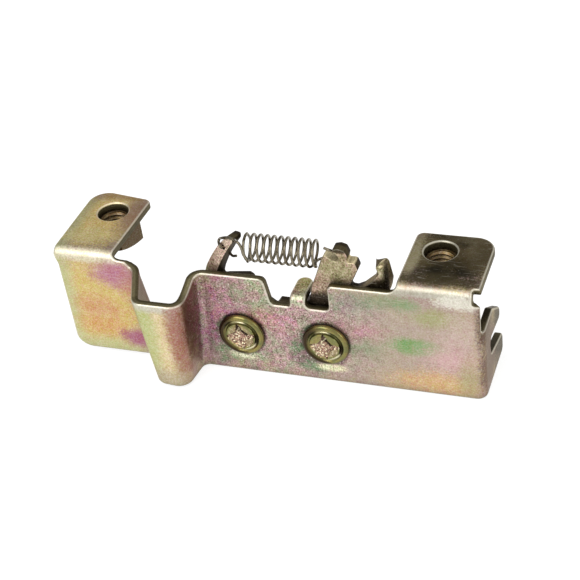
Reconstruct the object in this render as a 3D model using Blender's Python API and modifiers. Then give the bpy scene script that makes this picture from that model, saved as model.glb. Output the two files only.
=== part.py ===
"""Seat lock: a folded sheet bracket that carries a catch lever and a release lever on staked pivots.

Every length below is in millimetres and the finished meshes are in metres. X runs along the
bracket, Y runs back from its front face and Z runs up. The origin lies midway between the two
fixing holes, on the front face of the bracket, level with the top of its two fixing tabs.
"""
import math

import bmesh
import bpy
from mathutils import Matrix, Vector

MM = 0.001
GAP = 0.3
ARC_STEP = math.radians(22.5)
CORNER_STEP = math.radians(30.0)

# Bracket sheet
SHEET = 1.6
PLATE_TOP = -1.95
PLATE_BOTTOM = -26.15
LEFT_BOTTOM = -25.3
LEFT_EDGE = -42.5
LEFT_SHOULDER = -1.3
LEFT_CORNER_RADIUS = 3.0

# Rib that stands out of the bracket, at its top and bottom ends
RIB_TOP_LEFT = -25.4
RIB_TOP_RIGHT = -11.2
NOSE_TOP_LEFT = -22.3
NOSE_TOP_RIGHT = -11.9
RIB_TOP_DEPTH = 8.9
RIB_BOTTOM_LEFT = -21.9
RIB_BOTTOM_RIGHT = -12.9
NOSE_BOTTOM_LEFT = -20.6
NOSE_BOTTOM_RIGHT = -13.6
RIB_BOTTOM_DEPTH = 8.3
RIB_FOOT_RADIUS = 1.5
RIB_NOSE_RADIUS = 2.9
RIB_LIP = -4.5
RIB_FOOT_SPREAD = 4.5

# Fixing tabs
TAB_BEND_RADIUS = 2.3
TAB_HOLE_SPACING = 71.8
TAB_HOLE_RADIUS = 3.25
LEFT_HOLE_DEPTH = 15.2
LEFT_TAB_INNER = -29.9
LEFT_TAB_INNER_REAR = -29.3
LEFT_TAB_OUTER = -43.2
LEFT_TAB_REAR_INNER = 20.8
LEFT_TAB_REAR_OUTER = 22.9
RIGHT_HOLE_DEPTH = 12.5
RIGHT_TAB_INNER = 29.9
RIGHT_TAB_OUTER = 46.1
RIGHT_TAB_REAR = 18.35
TAB_LARGE_RADIUS = 4.0
TAB_SMALL_RADIUS = 1.6
TAB_ROOT_RADIUS = 2.0

# Stop tongue and the notches beside it
NOTCH_FLOOR = -8.1
NOTCH_LEFT_TOP = 3.0
NOTCH_LEFT_FLOOR = 4.0
TONGUE_LEFT = 7.95
TONGUE_RIGHT = 11.25
TONGUE_TOP = -5.5
TONGUE_REACH = 7.1
TONGUE_BEND_RADIUS = 1.9
SLOT_RIGHT = 16.1
NOTCH_RADIUS = 1.1
BLOCK_RADIUS = 1.6

# Cable flange behind the right end
FLANGE_FACE = 46.75
FLANGE_BEND_RADIUS = 2.0
FLANGE_TOP = -3.4
FLANGE_DEPTH = 16.6
FLANGE_STEP = 1.8
FINGER_TOP = -9.5
FINGER_REACH = 14.4
FINGER_LOWER = -16.2
CABLE_SLOT_TOP = -15.2
CABLE_SLOT_BOTTOM = -19.3
CABLE_SLOT_ROOT = 5.4
LOWER_FINGER_TOP = -21.8
FINGER_RADIUS = 1.3
RELIEF_TOP = 0.45
RELIEF_BOTTOM = -3.0

# Pivots
PIVOT_HEIGHT = -16.13
CATCH_PIVOT = -3.12
RELEASE_PIVOT = 14.81
TENON_RADIUS = 2.8
SHOULDER_RADIUS = 3.4
HEAD_RADIUS = 4.86
HEAD_HEIGHT = 1.1
HEAD_BOSS_RADIUS = 3.5
REAR_HEAD_RADIUS = 4.6
REAR_HEAD_HEIGHT = 1.4
STAKE_MARKS = 4
STAKE_DEPTH = 0.55

# Levers
LEVER_SHEET = 2.6
LEVER_HUB_RADIUS = 4.9
CATCH_HUB_RADIUS = 5.4
ARM_WIDTH = 3.3
ARM_TWIST = math.radians(25.0)
ARM_SETBACK = 1.0
TWIST_START = 8.6
TWIST_END = 12.0
CATCH_TOP = 12.1
CATCH_REACH = 12.7
BLOCK_TOP = 7.0
ARM_LEVELS = (13.6, 15.4, 17.2, 18.9)
HOOK_HOLE_HEIGHT = 18.9
HOOK_HOLE_RADIUS = 0.72
HORN_FACE = 13.39
HORN_BEND_RADIUS = 3.0
HORN_DEPTH = 4.0

# Weld nuts
NUT_FLATS = 10.0
NUT_HEIGHT = 5.0
NUT_BORE_RADIUS = 2.55
NUT_TURN = math.radians(2.4)

# Tension spring
WIRE_RADIUS = 0.28
SPRING_RADIUS = 2.65
SPRING_TURNS = 11
SPRING_HEIGHT = 3.25
SPRING_DEPTH = 3.3
SPRING_LEFT = -1.13
SPRING_RIGHT = 13.87
SPRING_START = math.radians(-60.0)
POINTS_PER_TURN = 10

FINISHES = {
    "zinc": ((0.62, 0.52, 0.38, 1.0), 0.36, 0.9),
    "dark_zinc": ((0.33, 0.29, 0.21, 1.0), 0.42, 0.9),
    "rivet_zinc": ((0.48, 0.45, 0.28, 1.0), 0.32, 0.9),
    "spring_steel": ((0.58, 0.56, 0.52, 1.0), 0.24, 1.0),
}


def remove_everything():
    """Empties the scene of objects and of the collections made by an earlier run."""
    for old in list(bpy.data.objects):
        bpy.data.objects.remove(old, do_unlink=True)
    for old in list(bpy.data.collections):
        bpy.data.collections.remove(old)


def new_collection(name):
    """Adds a collection to the scene."""
    collection = bpy.data.collections.new(name)
    bpy.context.scene.collection.children.link(collection)
    return collection


def finish_material(node_name, finish):
    """Makes the node's own metal, with the finish's colour, roughness and metallic value."""
    colour, roughness, metallic = FINISHES[finish]
    material = bpy.data.materials.new(node_name + "_metal")
    material.use_nodes = True
    shader = material.node_tree.nodes["Principled BSDF"]
    shader.inputs["Base Color"].default_value = colour
    shader.inputs["Roughness"].default_value = roughness
    shader.inputs["Metallic"].default_value = metallic
    material.diffuse_color = colour
    return material


def add_part(name, mesh, collection, finish, location=(0.0, 0.0, 0.0)):
    """Places a finished mesh in the scene as one named piece."""
    piece = bpy.data.objects.new(name, mesh)
    mesh.name = name
    mesh.materials.clear()
    mesh.materials.append(finish_material(name, finish))
    piece.location = [value * MM for value in location]
    collection.objects.link(piece)
    return piece


def add_cutter(name, mesh, collection, location=(0.0, 0.0, 0.0)):
    """Places a mesh that only cuts or trims another."""
    cutter = bpy.data.objects.new(name, mesh)
    cutter.location = [value * MM for value in location]
    cutter.hide_render = True
    cutter.display_type = "WIRE"
    collection.objects.link(cutter)
    return cutter


def boolean(piece, cutter, operation):
    """Adds an exact Boolean modifier to a piece."""
    modifier = piece.modifiers.new(cutter.name, "BOOLEAN")
    modifier.operation = operation
    modifier.solver = "EXACT"
    modifier.object = cutter


def mesh_from(bm, name):
    """Turns a bmesh into a mesh with its faces pointing out."""
    bmesh.ops.recalc_face_normals(bm, faces=bm.faces[:])
    mesh = bpy.data.meshes.new(name)
    bm.to_mesh(mesh)
    bm.free()
    mesh.shade_smooth()
    mesh.set_sharp_from_angle(angle=math.radians(31.0))
    return mesh


def polar(radius, angle, centre=(0.0, 0.0)):
    """Point at a radius and an angle from a centre."""
    return (centre[0] + radius * math.cos(angle), centre[1] + radius * math.sin(angle))


def circle(centre, radius, steps=24):
    """Points round a circle."""
    return [polar(radius, 2.0 * math.pi * step / steps, centre) for step in range(steps)]


def rounded(corners):
    """Outline through (x, z, radius) corners, each with an arc where its radius isn't zero."""
    outline = []
    count = len(corners)
    for index, (x, z, radius) in enumerate(corners):
        here = Vector((x, z))
        before = Vector(corners[index - 1][:2]) - here
        after = Vector(corners[(index + 1) % count][:2]) - here
        turn = math.pi - before.angle(after)
        if radius <= 0.0 or turn < math.radians(2.0):
            outline.append((x, z))
            continue
        reach = min(radius * math.tan(turn / 2.0), 0.49 * before.length, 0.49 * after.length)
        radius = reach / math.tan(turn / 2.0)
        start = here + before.normalized() * reach
        centre = here + (before.normalized() + after.normalized()).normalized() * math.hypot(reach, radius)
        steps = max(2, math.ceil(turn / CORNER_STEP))
        side = 1.0 if before.x * after.y - before.y * after.x < 0.0 else -1.0
        arm = start - centre
        for step in range(steps + 1):
            angle = side * turn * step / steps
            swung = Matrix.Rotation(angle, 2) @ arm
            outline.append((centre.x + swung.x, centre.y + swung.y))
    return outline


def flat_blank(loops, thickness):
    """Flat sheet cut to closed loops: x and z across it, y from its front face to its rear face."""
    curve = bpy.data.curves.new("blank", "CURVE")
    curve.dimensions = "2D"
    curve.fill_mode = "BOTH"
    curve.extrude = thickness / 2.0
    for loop in loops:
        spline = curve.splines.new("POLY")
        spline.points.add(len(loop) - 1)
        for point, (x, z) in zip(spline.points, loop):
            point.co = (x, z, 0.0, 1.0)
        spline.use_cyclic_u = True
    holder = bpy.data.objects.new("blank", curve)
    bpy.context.scene.collection.objects.link(holder)
    bpy.context.view_layer.update()
    mesh = bpy.data.meshes.new_from_object(holder.evaluated_get(bpy.context.evaluated_depsgraph_get()))
    bpy.data.objects.remove(holder, do_unlink=True)
    bm = bmesh.new()
    bm.from_mesh(mesh)
    bpy.data.meshes.remove(mesh)
    bmesh.ops.remove_doubles(bm, verts=bm.verts[:], dist=0.001)
    for vertex in bm.verts:
        x, z, offset = vertex.co
        vertex.co = (x, thickness / 2.0 - offset, z)
    return bm


def score(bm, axis, values, low=None, high=None):
    """Cuts edges across the sheet where it is going to bend, inside a range of the other axis."""
    other = 2 if axis == 0 else 0
    normal = Vector((1.0, 0.0, 0.0)) if axis == 0 else Vector((0.0, 0.0, 1.0))
    for value in values:
        faces = bm.faces[:]
        if low is not None:
            faces = [face for face in faces if low < face.calc_center_median()[other] < high]
        edges = {edge for face in faces for edge in face.edges}
        corners = {vertex for face in faces for vertex in face.verts}
        bmesh.ops.bisect_plane(
            bm, geom=faces + list(edges) + list(corners), plane_co=normal * value, plane_no=normal, dist=0.0005)


def fold_back(height, depth, fold_top, radius):
    """Height and depth of a sheet point after its upper part is folded back level with fold_top."""
    run = height - (fold_top - radius)
    if run <= 0.0:
        return height, depth
    quarter = radius * math.pi / 2.0
    if run < quarter:
        angle = run / radius
        reach = radius - depth
        return fold_top - radius + reach * math.sin(angle), radius - reach * math.cos(angle)
    return fold_top - depth, radius + run - quarter


def unfold(depth, fold_top, radius):
    """Height in the flat blank of a point that lies this deep on the folded part."""
    return fold_top - radius + radius * math.pi / 2.0 + depth - radius


class Section:
    """Plan of the sheet's front face: straight runs joined by arcs."""

    def __init__(self, corners):
        """Takes (x, y, radius) corners from left to right."""
        self.pieces = []
        points = [Vector(corner[:2]) for corner in corners]
        start = points[0]
        for index in range(1, len(points) - 1):
            into = (points[index] - points[index - 1]).normalized()
            out = (points[index + 1] - points[index]).normalized()
            heading = math.atan2(into.y, into.x)
            turn = math.atan2(into.x * out.y - into.y * out.x, into.dot(out))
            radius = corners[index][2]
            reach = radius * math.tan(abs(turn) / 2.0)
            end = points[index] - into * reach
            self.pieces.append((start, heading, 0.0, (end - start).length))
            self.pieces.append((end, heading, turn, radius * abs(turn)))
            start = points[index] + out * reach
        last = points[-1] - start
        self.pieces.append((start, math.atan2(last.y, last.x), 0.0, last.length))
        self.starts = [points[0].x]
        for piece in self.pieces:
            self.starts.append(self.starts[-1] + piece[3])

    def locate(self, run):
        """Piece and share of that piece at a length along the sheet."""
        for index in range(len(self.pieces)):
            if run <= self.starts[index + 1] or index == len(self.pieces) - 1:
                return index, (run - self.starts[index]) / self.pieces[index][3]
        return len(self.pieces) - 1, 1.0

    def place(self, index, share):
        """Point and heading at a share of one piece."""
        start, heading, turn, length = self.pieces[index]
        if turn == 0.0:
            return start + Vector((math.cos(heading), math.sin(heading))) * length * share, heading
        radius = length / abs(turn)
        side = 1.0 if turn > 0.0 else -1.0
        centre = start + Vector((-math.sin(heading), math.cos(heading))) * side * radius
        swing = Matrix.Rotation(turn * share, 2) @ (start - centre)
        return centre + swing, heading + turn * share

    def bend_lines(self):
        """Lengths along the sheet where an arc starts, ends or is divided."""
        lines = []
        for index, (_, _, turn, length) in enumerate(self.pieces):
            if turn != 0.0:
                steps = max(2, math.ceil(abs(turn) / ARC_STEP))
                lines += [self.starts[index] + length * step / steps for step in range(steps + 1)]
        return lines


def bracket_sections():
    """Plans of the bracket's front face at the top and at the bottom of its rib."""
    plans = []
    for left, nose_left, nose_right, right, depth in (
        (RIB_TOP_LEFT, NOSE_TOP_LEFT, NOSE_TOP_RIGHT, RIB_TOP_RIGHT, RIB_TOP_DEPTH),
        (RIB_BOTTOM_LEFT, NOSE_BOTTOM_LEFT, NOSE_BOTTOM_RIGHT, RIB_BOTTOM_RIGHT, RIB_BOTTOM_DEPTH),
    ):
        plans.append(Section([
            (LEFT_TAB_OUTER, 0.0, 0.0),
            (left, 0.0, RIB_FOOT_RADIUS),
            (nose_left, -depth, RIB_NOSE_RADIUS),
            (nose_right, -depth, RIB_NOSE_RADIUS),
            (right, 0.0, RIB_FOOT_RADIUS),
            (FLANGE_FACE, 0.0, FLANGE_BEND_RADIUS),
            (FLANGE_FACE, FLANGE_DEPTH, 0.0),
        ]))
    return plans


RIB_FOOT_LEFT, RIB_FOOT_RIGHT, MAIN_RUN, CORNER_BEND, FLANGE_RUN = 1, 7, 8, 9, 10


def ease(share):
    """Smooth step from 0 to 1."""
    share = min(1.0, max(0.0, share))
    return share * share * (3.0 - 2.0 * share)


def bracket_outline(plan):
    """Edge of the flat bracket blank, anticlockwise from its lower left corner."""
    main = plan.starts[MAIN_RUN] - plan.place(MAIN_RUN, 0.0)[0].x
    corner = plan.starts[CORNER_BEND]
    flange = plan.starts[FLANGE_RUN] - FLANGE_BEND_RADIUS

    def tab(depth):
        return unfold(depth, 0.0, TAB_BEND_RADIUS)

    tip = unfold(TONGUE_REACH, TONGUE_TOP, TONGUE_BEND_RADIUS)
    tongue_radius = 0.48 * (TONGUE_RIGHT - TONGUE_LEFT)
    lip_left, lip_right = plan.starts[RIB_FOOT_LEFT], plan.starts[RIB_FOOT_RIGHT + 1]
    nose_left, nose_right = plan.starts[RIB_FOOT_LEFT + 2], plan.starts[RIB_FOOT_RIGHT - 1]
    dip = []
    steps = 6
    for step in range(1, steps + 1):
        share = step / steps
        dip.append((lip_right + (nose_right - lip_right) * share,
                    PLATE_TOP + (RIB_LIP - PLATE_TOP) * ease(share), 0.0))
    for step in range(steps):
        share = step / steps
        dip.append((nose_left + (lip_left - nose_left) * share,
                    RIB_LIP + (LEFT_SHOULDER - 1.0 - RIB_LIP) * share, 0.0))
    return rounded([
        (LEFT_EDGE, LEFT_BOTTOM, LEFT_CORNER_RADIUS),
        (lip_left, LEFT_BOTTOM, 0.0),
        (lip_right, PLATE_BOTTOM, 0.0),
        (flange + FLANGE_DEPTH, PLATE_BOTTOM, FINGER_RADIUS),
        (flange + FLANGE_DEPTH, LOWER_FINGER_TOP, FINGER_RADIUS),
        (flange + CABLE_SLOT_ROOT + 1.0, CABLE_SLOT_BOTTOM, NOTCH_RADIUS),
        (flange + CABLE_SLOT_ROOT, CABLE_SLOT_TOP, NOTCH_RADIUS),
        (flange + FINGER_REACH, FINGER_LOWER, FINGER_RADIUS),
        (flange + FINGER_REACH, FINGER_LOWER + 2.0 * FINGER_RADIUS, FINGER_RADIUS),
        (flange + 0.58 * FINGER_REACH, FINGER_TOP, FINGER_RADIUS),
        (corner + FLANGE_STEP, FINGER_TOP, 0.5),
        (corner + FLANGE_STEP, FLANGE_TOP, 0.5),
        (corner - 0.05, RELIEF_BOTTOM, 0.5),
        (corner - 0.05, RELIEF_TOP, 0.4),
        (main + RIGHT_TAB_OUTER, RELIEF_TOP + 0.1, 0.4),
        (main + RIGHT_TAB_OUTER, tab(RIGHT_TAB_REAR), TAB_LARGE_RADIUS),
        (main + RIGHT_TAB_INNER, tab(RIGHT_TAB_REAR), TAB_SMALL_RADIUS),
        (main + RIGHT_TAB_INNER, PLATE_TOP, TAB_ROOT_RADIUS),
        (main + SLOT_RIGHT, PLATE_TOP, NOTCH_RADIUS),
        (main + SLOT_RIGHT, NOTCH_FLOOR, NOTCH_RADIUS),
        (main + TONGUE_RIGHT, NOTCH_FLOOR, NOTCH_RADIUS),
        (main + TONGUE_RIGHT, tip, tongue_radius),
        (main + TONGUE_LEFT, tip, tongue_radius),
        (main + TONGUE_LEFT, NOTCH_FLOOR, 0.7),
        (main + NOTCH_LEFT_FLOOR, NOTCH_FLOOR, NOTCH_RADIUS),
        (main + NOTCH_LEFT_TOP, PLATE_TOP, BLOCK_RADIUS),
        (lip_right, PLATE_TOP, 0.0),
        *dip,
        (lip_left - 0.4, LEFT_SHOULDER, 0.9),
        (LEFT_TAB_INNER, LEFT_SHOULDER + 0.3, TAB_ROOT_RADIUS),
        (LEFT_TAB_INNER_REAR, tab(LEFT_TAB_REAR_INNER), TAB_SMALL_RADIUS),
        (LEFT_TAB_OUTER, tab(LEFT_TAB_REAR_OUTER), TAB_LARGE_RADIUS),
        (LEFT_TAB_OUTER, LEFT_SHOULDER, 0.8),
        (LEFT_EDGE, LEFT_SHOULDER - 2.4, 1.2),
    ])


def bracket_mesh():
    """The folded bracket, cut flat first and then folded along its scored lines."""
    top_plan, bottom_plan = bracket_sections()
    main = top_plan.starts[MAIN_RUN] - top_plan.place(MAIN_RUN, 0.0)[0].x
    tab_level = unfold(LEFT_HOLE_DEPTH, 0.0, TAB_BEND_RADIUS)
    right_level = unfold(RIGHT_HOLE_DEPTH, 0.0, TAB_BEND_RADIUS)
    loops = [
        bracket_outline(top_plan),
        circle((-TAB_HOLE_SPACING / 2.0, tab_level), TAB_HOLE_RADIUS),
        circle((main + TAB_HOLE_SPACING / 2.0, right_level), TAB_HOLE_RADIUS),
        circle((main + CATCH_PIVOT, PIVOT_HEIGHT), TENON_RADIUS + GAP),
        circle((main + RELEASE_PIVOT, PIVOT_HEIGHT), TENON_RADIUS + GAP),
    ]
    bm = flat_blank(loops, SHEET)

    foot_drift = bottom_plan.place(MAIN_RUN, 0.0)[0].x - top_plan.place(MAIN_RUN, 0.0)[0].x
    corner = top_plan.starts[CORNER_BEND]
    tongue_low = main + (NOTCH_LEFT_FLOOR + TONGUE_LEFT) / 2.0
    tongue_high = main + (TONGUE_RIGHT + SLOT_RIGHT) / 2.0
    right_tab_low = main + RIGHT_TAB_INNER - TAB_ROOT_RADIUS
    rib_low, rib_high = top_plan.starts[RIB_FOOT_LEFT], top_plan.starts[MAIN_RUN]
    flange_split = (RELIEF_TOP + RELIEF_BOTTOM) / 2.0
    score(bm, 0, [tongue_low, tongue_high, right_tab_low])
    score(bm, 0, [line for line in top_plan.bend_lines() if line < corner - 0.01])
    score(bm, 2, [flange_split], corner - 0.1, corner + 40.0)
    score(bm, 0, [line for line in top_plan.bend_lines() if line > corner - 0.01], -60.0, flange_split)
    quarter_steps = math.ceil(math.pi / 2.0 / ARC_STEP)
    tab_arc = [TAB_BEND_RADIUS * (math.pi / 2.0 * step / quarter_steps - 1.0) for step in range(quarter_steps + 1)]
    tongue_arc = [
        TONGUE_TOP - TONGUE_BEND_RADIUS + TONGUE_BEND_RADIUS * math.pi / 2.0 * step / quarter_steps
        for step in range(quarter_steps + 1)]
    score(bm, 2, tab_arc, LEFT_TAB_OUTER - 1.0, rib_low)
    score(bm, 2, tab_arc, right_tab_low, main + RIGHT_TAB_OUTER + 1.0)
    score(bm, 2, tongue_arc, tongue_low, tongue_high)
    rib_rows = 4
    rows = [RIB_LIP + (PLATE_BOTTOM - RIB_LIP) * row / rib_rows for row in range(1, rib_rows)]
    score(bm, 2, rows, rib_low, rib_high)
    bmesh.ops.triangulate(bm, faces=bm.faces[:])

    for vertex in bm.verts:
        run, depth, height = vertex.co
        on_tab = height > flange_split and run > corner - 0.1
        if tongue_low < run < tongue_high and height > NOTCH_FLOOR + 0.01:
            height, depth = fold_back(height, depth, TONGUE_TOP, TONGUE_BEND_RADIUS)
        elif height > -TAB_BEND_RADIUS:
            height, depth = fold_back(height, depth, 0.0, TAB_BEND_RADIUS)
        if on_tab:
            x, y = run - main, depth
        else:
            index, share = top_plan.locate(run)
            high, high_heading = top_plan.place(index, share)
            if index < MAIN_RUN:
                low, low_heading = bottom_plan.place(index, share)
            else:
                drift = foot_drift * (1.0 - ease((run - top_plan.starts[MAIN_RUN]) / RIB_FOOT_SPREAD))
                low, low_heading = high + Vector((drift, 0.0)), high_heading
            blend = min(1.0, max(0.0, (RIB_LIP - height) / (RIB_LIP - PLATE_BOTTOM)))
            heading = high_heading + (low_heading - high_heading) * blend
            point = high.lerp(low, blend)
            x = point.x - depth * math.sin(heading)
            y = point.y + depth * math.cos(heading)
        vertex.co = Vector((x, y, height)) * MM
    return mesh_from(bm, "bracket")


def arm_centre(height):
    """Middle of the catch lever's arm at a height above its pivot."""
    rise = max(0.0, height - TWIST_END)
    return -5.95 + 0.4 * rise + 0.022 * rise * rise


def catch_outline():
    """Edge of the catch lever, from its pivot: round hub, stop block, sloped rim and spring arm."""
    half = ARM_WIDTH / 2.0
    hub_left = [polar(CATCH_HUB_RADIUS, math.radians(angle)) + (0.0,) for angle in range(190, 331, 20)]
    block = math.sqrt(CATCH_REACH ** 2 - BLOCK_TOP ** 2)
    right_side = [(arm_centre(level) + half - 0.04 * (level - CATCH_TOP), level, 0.0) for level in ARM_LEVELS]
    left_side = [(arm_centre(level) - half + 0.05 * (level - CATCH_TOP), level, 0.0) for level in ARM_LEVELS]
    return rounded([
        *hub_left,
        (8.2, 0.6, 1.5),
        (block, BLOCK_TOP - 3.4, 1.0),
        (block, BLOCK_TOP, 0.0),
        (7.9, BLOCK_TOP + 0.1, 0.4),
        (6.85, 5.6, 0.3),
        (5.1, 7.05, 0.8),
        (2.6, CATCH_TOP, 0.4),
        (1.9, CATCH_TOP + 0.5, 0.4),
        (arm_centre(CATCH_TOP) + half, CATCH_TOP - 0.3, 0.4),
        *right_side,
        (arm_centre(20.6) + half - 0.3, 20.6, 0.3),
        (arm_centre(21.6) + 0.5, 21.5, 0.6),
        (arm_centre(21.3) - 0.9, 21.3, 0.6),
        *reversed(left_side),
        (-7.6, 11.4, 2.0),
        (-7.2, 4.0, 2.0),
    ])


def catch_mesh():
    """Catch lever: a thick blank whose spring arm is twisted about its own length."""
    hook_hole = (arm_centre(HOOK_HOLE_HEIGHT) + 0.15, HOOK_HOLE_HEIGHT)
    bm = flat_blank([
        catch_outline(),
        circle((0.0, 0.0), SHOULDER_RADIUS + GAP),
        circle(hook_hole, HOOK_HOLE_RADIUS, 12),
    ], LEVER_SHEET)
    twist_rows = 4
    rows = [TWIST_START + (TWIST_END - TWIST_START) * row / twist_rows for row in range(twist_rows + 1)]
    score(bm, 2, rows + list(ARM_LEVELS))
    bmesh.ops.triangulate(bm, faces=bm.faces[:])
    for vertex in bm.verts:
        vertex.co = twisted(*vertex.co) * MM
    return mesh_from(bm, "catch_lever")


def twisted(x, depth, height):
    """Where a point of the flat catch lever lies once the arm is twisted."""
    middle = LEVER_SHEET / 2.0
    centre = arm_centre(height)
    in_arm = 1.0 - ease((x - centre - 1.7) / 1.7) if height < CATCH_TOP + 0.8 else 1.0
    turn = ARM_TWIST * ease((height - TWIST_START) / (TWIST_END - TWIST_START)) * in_arm
    across, through = x - centre, depth - middle
    return Vector((
        centre + across * math.cos(turn) + through * math.sin(turn),
        middle + ARM_SETBACK * turn / ARM_TWIST - across * math.sin(turn) + through * math.cos(turn),
        height))


def release_outline():
    """Edge of the flat release lever, from its pivot: hub, pawl nose, spring notch, cradle and horn."""
    hub = [polar(LEVER_HUB_RADIUS, math.radians(angle)) + (0.0,) for angle in range(180, 361, 20)]
    horn_reach = HORN_FACE + HORN_DEPTH - HORN_BEND_RADIUS * (2.0 - math.pi / 2.0)
    catch = (CATCH_PIVOT - RELEASE_PIVOT, 0.0)
    nose = [polar(CATCH_REACH + 1.2 * GAP, math.radians(angle), catch) + (0.0,) for angle in (28.0, 20.0, 12.0, 5.0)]
    stop = TONGUE_RIGHT + GAP - RELEASE_PIVOT
    under_tongue = TONGUE_TOP - SHEET - PIVOT_HEIGHT
    return rounded([
        *hub,
        (7.0, 6.0, 3.0),
        (12.0, 10.8, 2.0),
        (horn_reach - 1.1, 13.1, 1.0),
        (horn_reach, 14.0, 0.5),
        (horn_reach - 2.0, 18.2, 0.8),
        (12.9, 19.5, 0.6),
        (11.6, 19.2, 0.6),
        (11.0, 18.3, 0.6),
        (11.55, 16.7, 0.4),
        (10.2, 15.2, 1.0),
        (8.0, 13.2, 1.2),
        (6.5, 12.4, 1.0),
        (5.2, 12.6, 0.5),
        (7.45, 17.4, 0.8),
        (7.0, 18.9, 0.6),
        (5.3, 18.9, 0.3),
        (5.6, 20.3, 0.5),
        (5.1, 21.6, 0.6),
        (3.9, 22.0, 0.8),
        (2.4, 21.6, 0.3),
        (3.6, 20.2, 0.3),
        (3.95, 19.3, 0.4),
        (3.3, 18.85, 0.4),
        (2.3, 19.1, 0.4),
        (0.9, 20.2, 0.4),
        (0.1, 18.9, 0.6),
        (-1.1, 15.6, 1.5),
        (-2.2, 12.9, 1.0),
        (stop + 0.4, under_tongue + 1.3, 0.6),
        (stop, under_tongue - GAP / 2.0, 0.0),
        *nose,
    ])


def release_mesh():
    """Release lever: a thick blank whose right end is folded back into the cable horn."""
    bm = flat_blank([release_outline(), circle((0.0, 0.0), SHOULDER_RADIUS + GAP)], LEVER_SHEET)
    plan = Section([(-20.0, 0.0, 0.0), (HORN_FACE, 0.0, HORN_BEND_RADIUS), (HORN_FACE, HORN_DEPTH, 0.0)])
    score(bm, 0, plan.bend_lines())
    bmesh.ops.triangulate(bm, faces=bm.faces[:])
    for vertex in bm.verts:
        run, depth, height = vertex.co
        point, heading = plan.place(*plan.locate(run))
        x = point.x - depth * math.sin(heading)
        y = point.y + depth * math.cos(heading)
        vertex.co = Vector((x, y, height)) * MM
    return mesh_from(bm, "release_lever")


def turned(name, profile, collection, steps=28):
    """Solid of revolution about Z, from (radius, height) points that run down the outer side."""
    bm = bmesh.new()
    points = [bm.verts.new((radius * MM, 0.0, height * MM)) for radius, height in profile]
    for first, second in zip(points, points[1:]):
        bm.edges.new((first, second))
    mesh = bpy.data.meshes.new(name)
    bm.to_mesh(mesh)
    bm.free()
    holder = bpy.data.objects.new(name, mesh)
    collection.objects.link(holder)
    screw = holder.modifiers.new("turn", "SCREW")
    screw.axis = "Z"
    screw.steps = steps
    screw.render_steps = steps
    screw.use_merge_vertices = True
    screw.merge_threshold = 0.00005
    screw.use_normal_calculate = True
    bpy.context.view_layer.update()
    solid = bpy.data.meshes.new_from_object(holder.evaluated_get(bpy.context.evaluated_depsgraph_get()))
    bpy.data.objects.remove(holder, do_unlink=True)
    bm = bmesh.new()
    bm.from_mesh(solid)
    bpy.data.meshes.remove(solid)
    bmesh.ops.remove_doubles(bm, verts=bm.verts[:], dist=0.00001)
    bmesh.ops.holes_fill(bm, edges=[edge for edge in bm.edges if edge.is_boundary])
    return bm


def rivet_mesh(name, collection):
    """Stepped pivot: rear head, lever shoulder, tenon through the sheet and a formed front head."""
    shoulder_end = SHEET + GAP + LEVER_SHEET + GAP
    front = GAP + HEAD_HEIGHT
    groove = GAP + 0.55 * HEAD_HEIGHT
    profile = [
        (0.0, front + 0.15),
        (HEAD_BOSS_RADIUS - 0.45, front + 0.1),
        (HEAD_BOSS_RADIUS, front - 0.25),
        (HEAD_BOSS_RADIUS + 0.2, groove),
        (HEAD_RADIUS - 0.55, front - 0.15),
        (HEAD_RADIUS - 0.2, front - 0.25),
        (HEAD_RADIUS, GAP + 0.3),
        (HEAD_RADIUS - 0.1, GAP),
        (TENON_RADIUS, GAP),
        (TENON_RADIUS, -SHEET - GAP),
        (SHOULDER_RADIUS, -SHEET - GAP),
        (SHOULDER_RADIUS, -shoulder_end),
        (REAR_HEAD_RADIUS, -shoulder_end),
        (REAR_HEAD_RADIUS, -shoulder_end - 0.7 * REAR_HEAD_HEIGHT),
        (REAR_HEAD_RADIUS - 0.5, -shoulder_end - REAR_HEAD_HEIGHT),
        (0.0, -shoulder_end - REAR_HEAD_HEIGHT),
    ]
    bm = turned(name, profile, collection)
    bmesh.ops.rotate(bm, verts=bm.verts[:], cent=(0.0, 0.0, 0.0), matrix=Matrix.Rotation(math.pi / 2.0, 3, "X"))
    return mesh_from(bm, name)


def stake_mesh(name, turn):
    """Four wedge points that dent the middle of a rivet head."""
    bm = bmesh.new()
    for mark in range(STAKE_MARKS):
        angle = turn + 2.0 * math.pi * mark / STAKE_MARKS
        x, z = polar(0.56 * HEAD_BOSS_RADIUS, angle)
        tip = -(GAP + HEAD_HEIGHT) + STAKE_DEPTH
        height = 3.0
        place = (
            Matrix.Translation(Vector((x, tip - height / 2.0, z)) * MM)
            @ Matrix.Rotation(-angle, 4, "Y")
            @ Matrix.Diagonal((1.0, 1.0, 0.62, 1.0))
            @ Matrix.Rotation(-math.pi / 2.0, 4, "X")
            @ Matrix.Rotation(math.pi / 4.0, 4, "Z")
        )
        bmesh.ops.create_cone(
            bm, cap_ends=True, segments=4, radius1=5.2 * MM, radius2=0.0, depth=height * MM, matrix=place)
    return mesh_from(bm, name)


def nut_mesh(name):
    """Hexagon of a weld nut, flat against the underside of its tab."""
    bm = bmesh.new()
    corner = NUT_FLATS / math.sqrt(3.0)
    place = Matrix.Translation((0.0, 0.0, -NUT_HEIGHT / 2.0 * MM)) @ Matrix.Rotation(NUT_TURN, 4, "Z")
    bmesh.ops.create_cone(
        bm, cap_ends=True, segments=6, radius1=corner * MM, radius2=corner * MM, depth=NUT_HEIGHT * MM, matrix=place)
    return mesh_from(bm, name)


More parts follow.
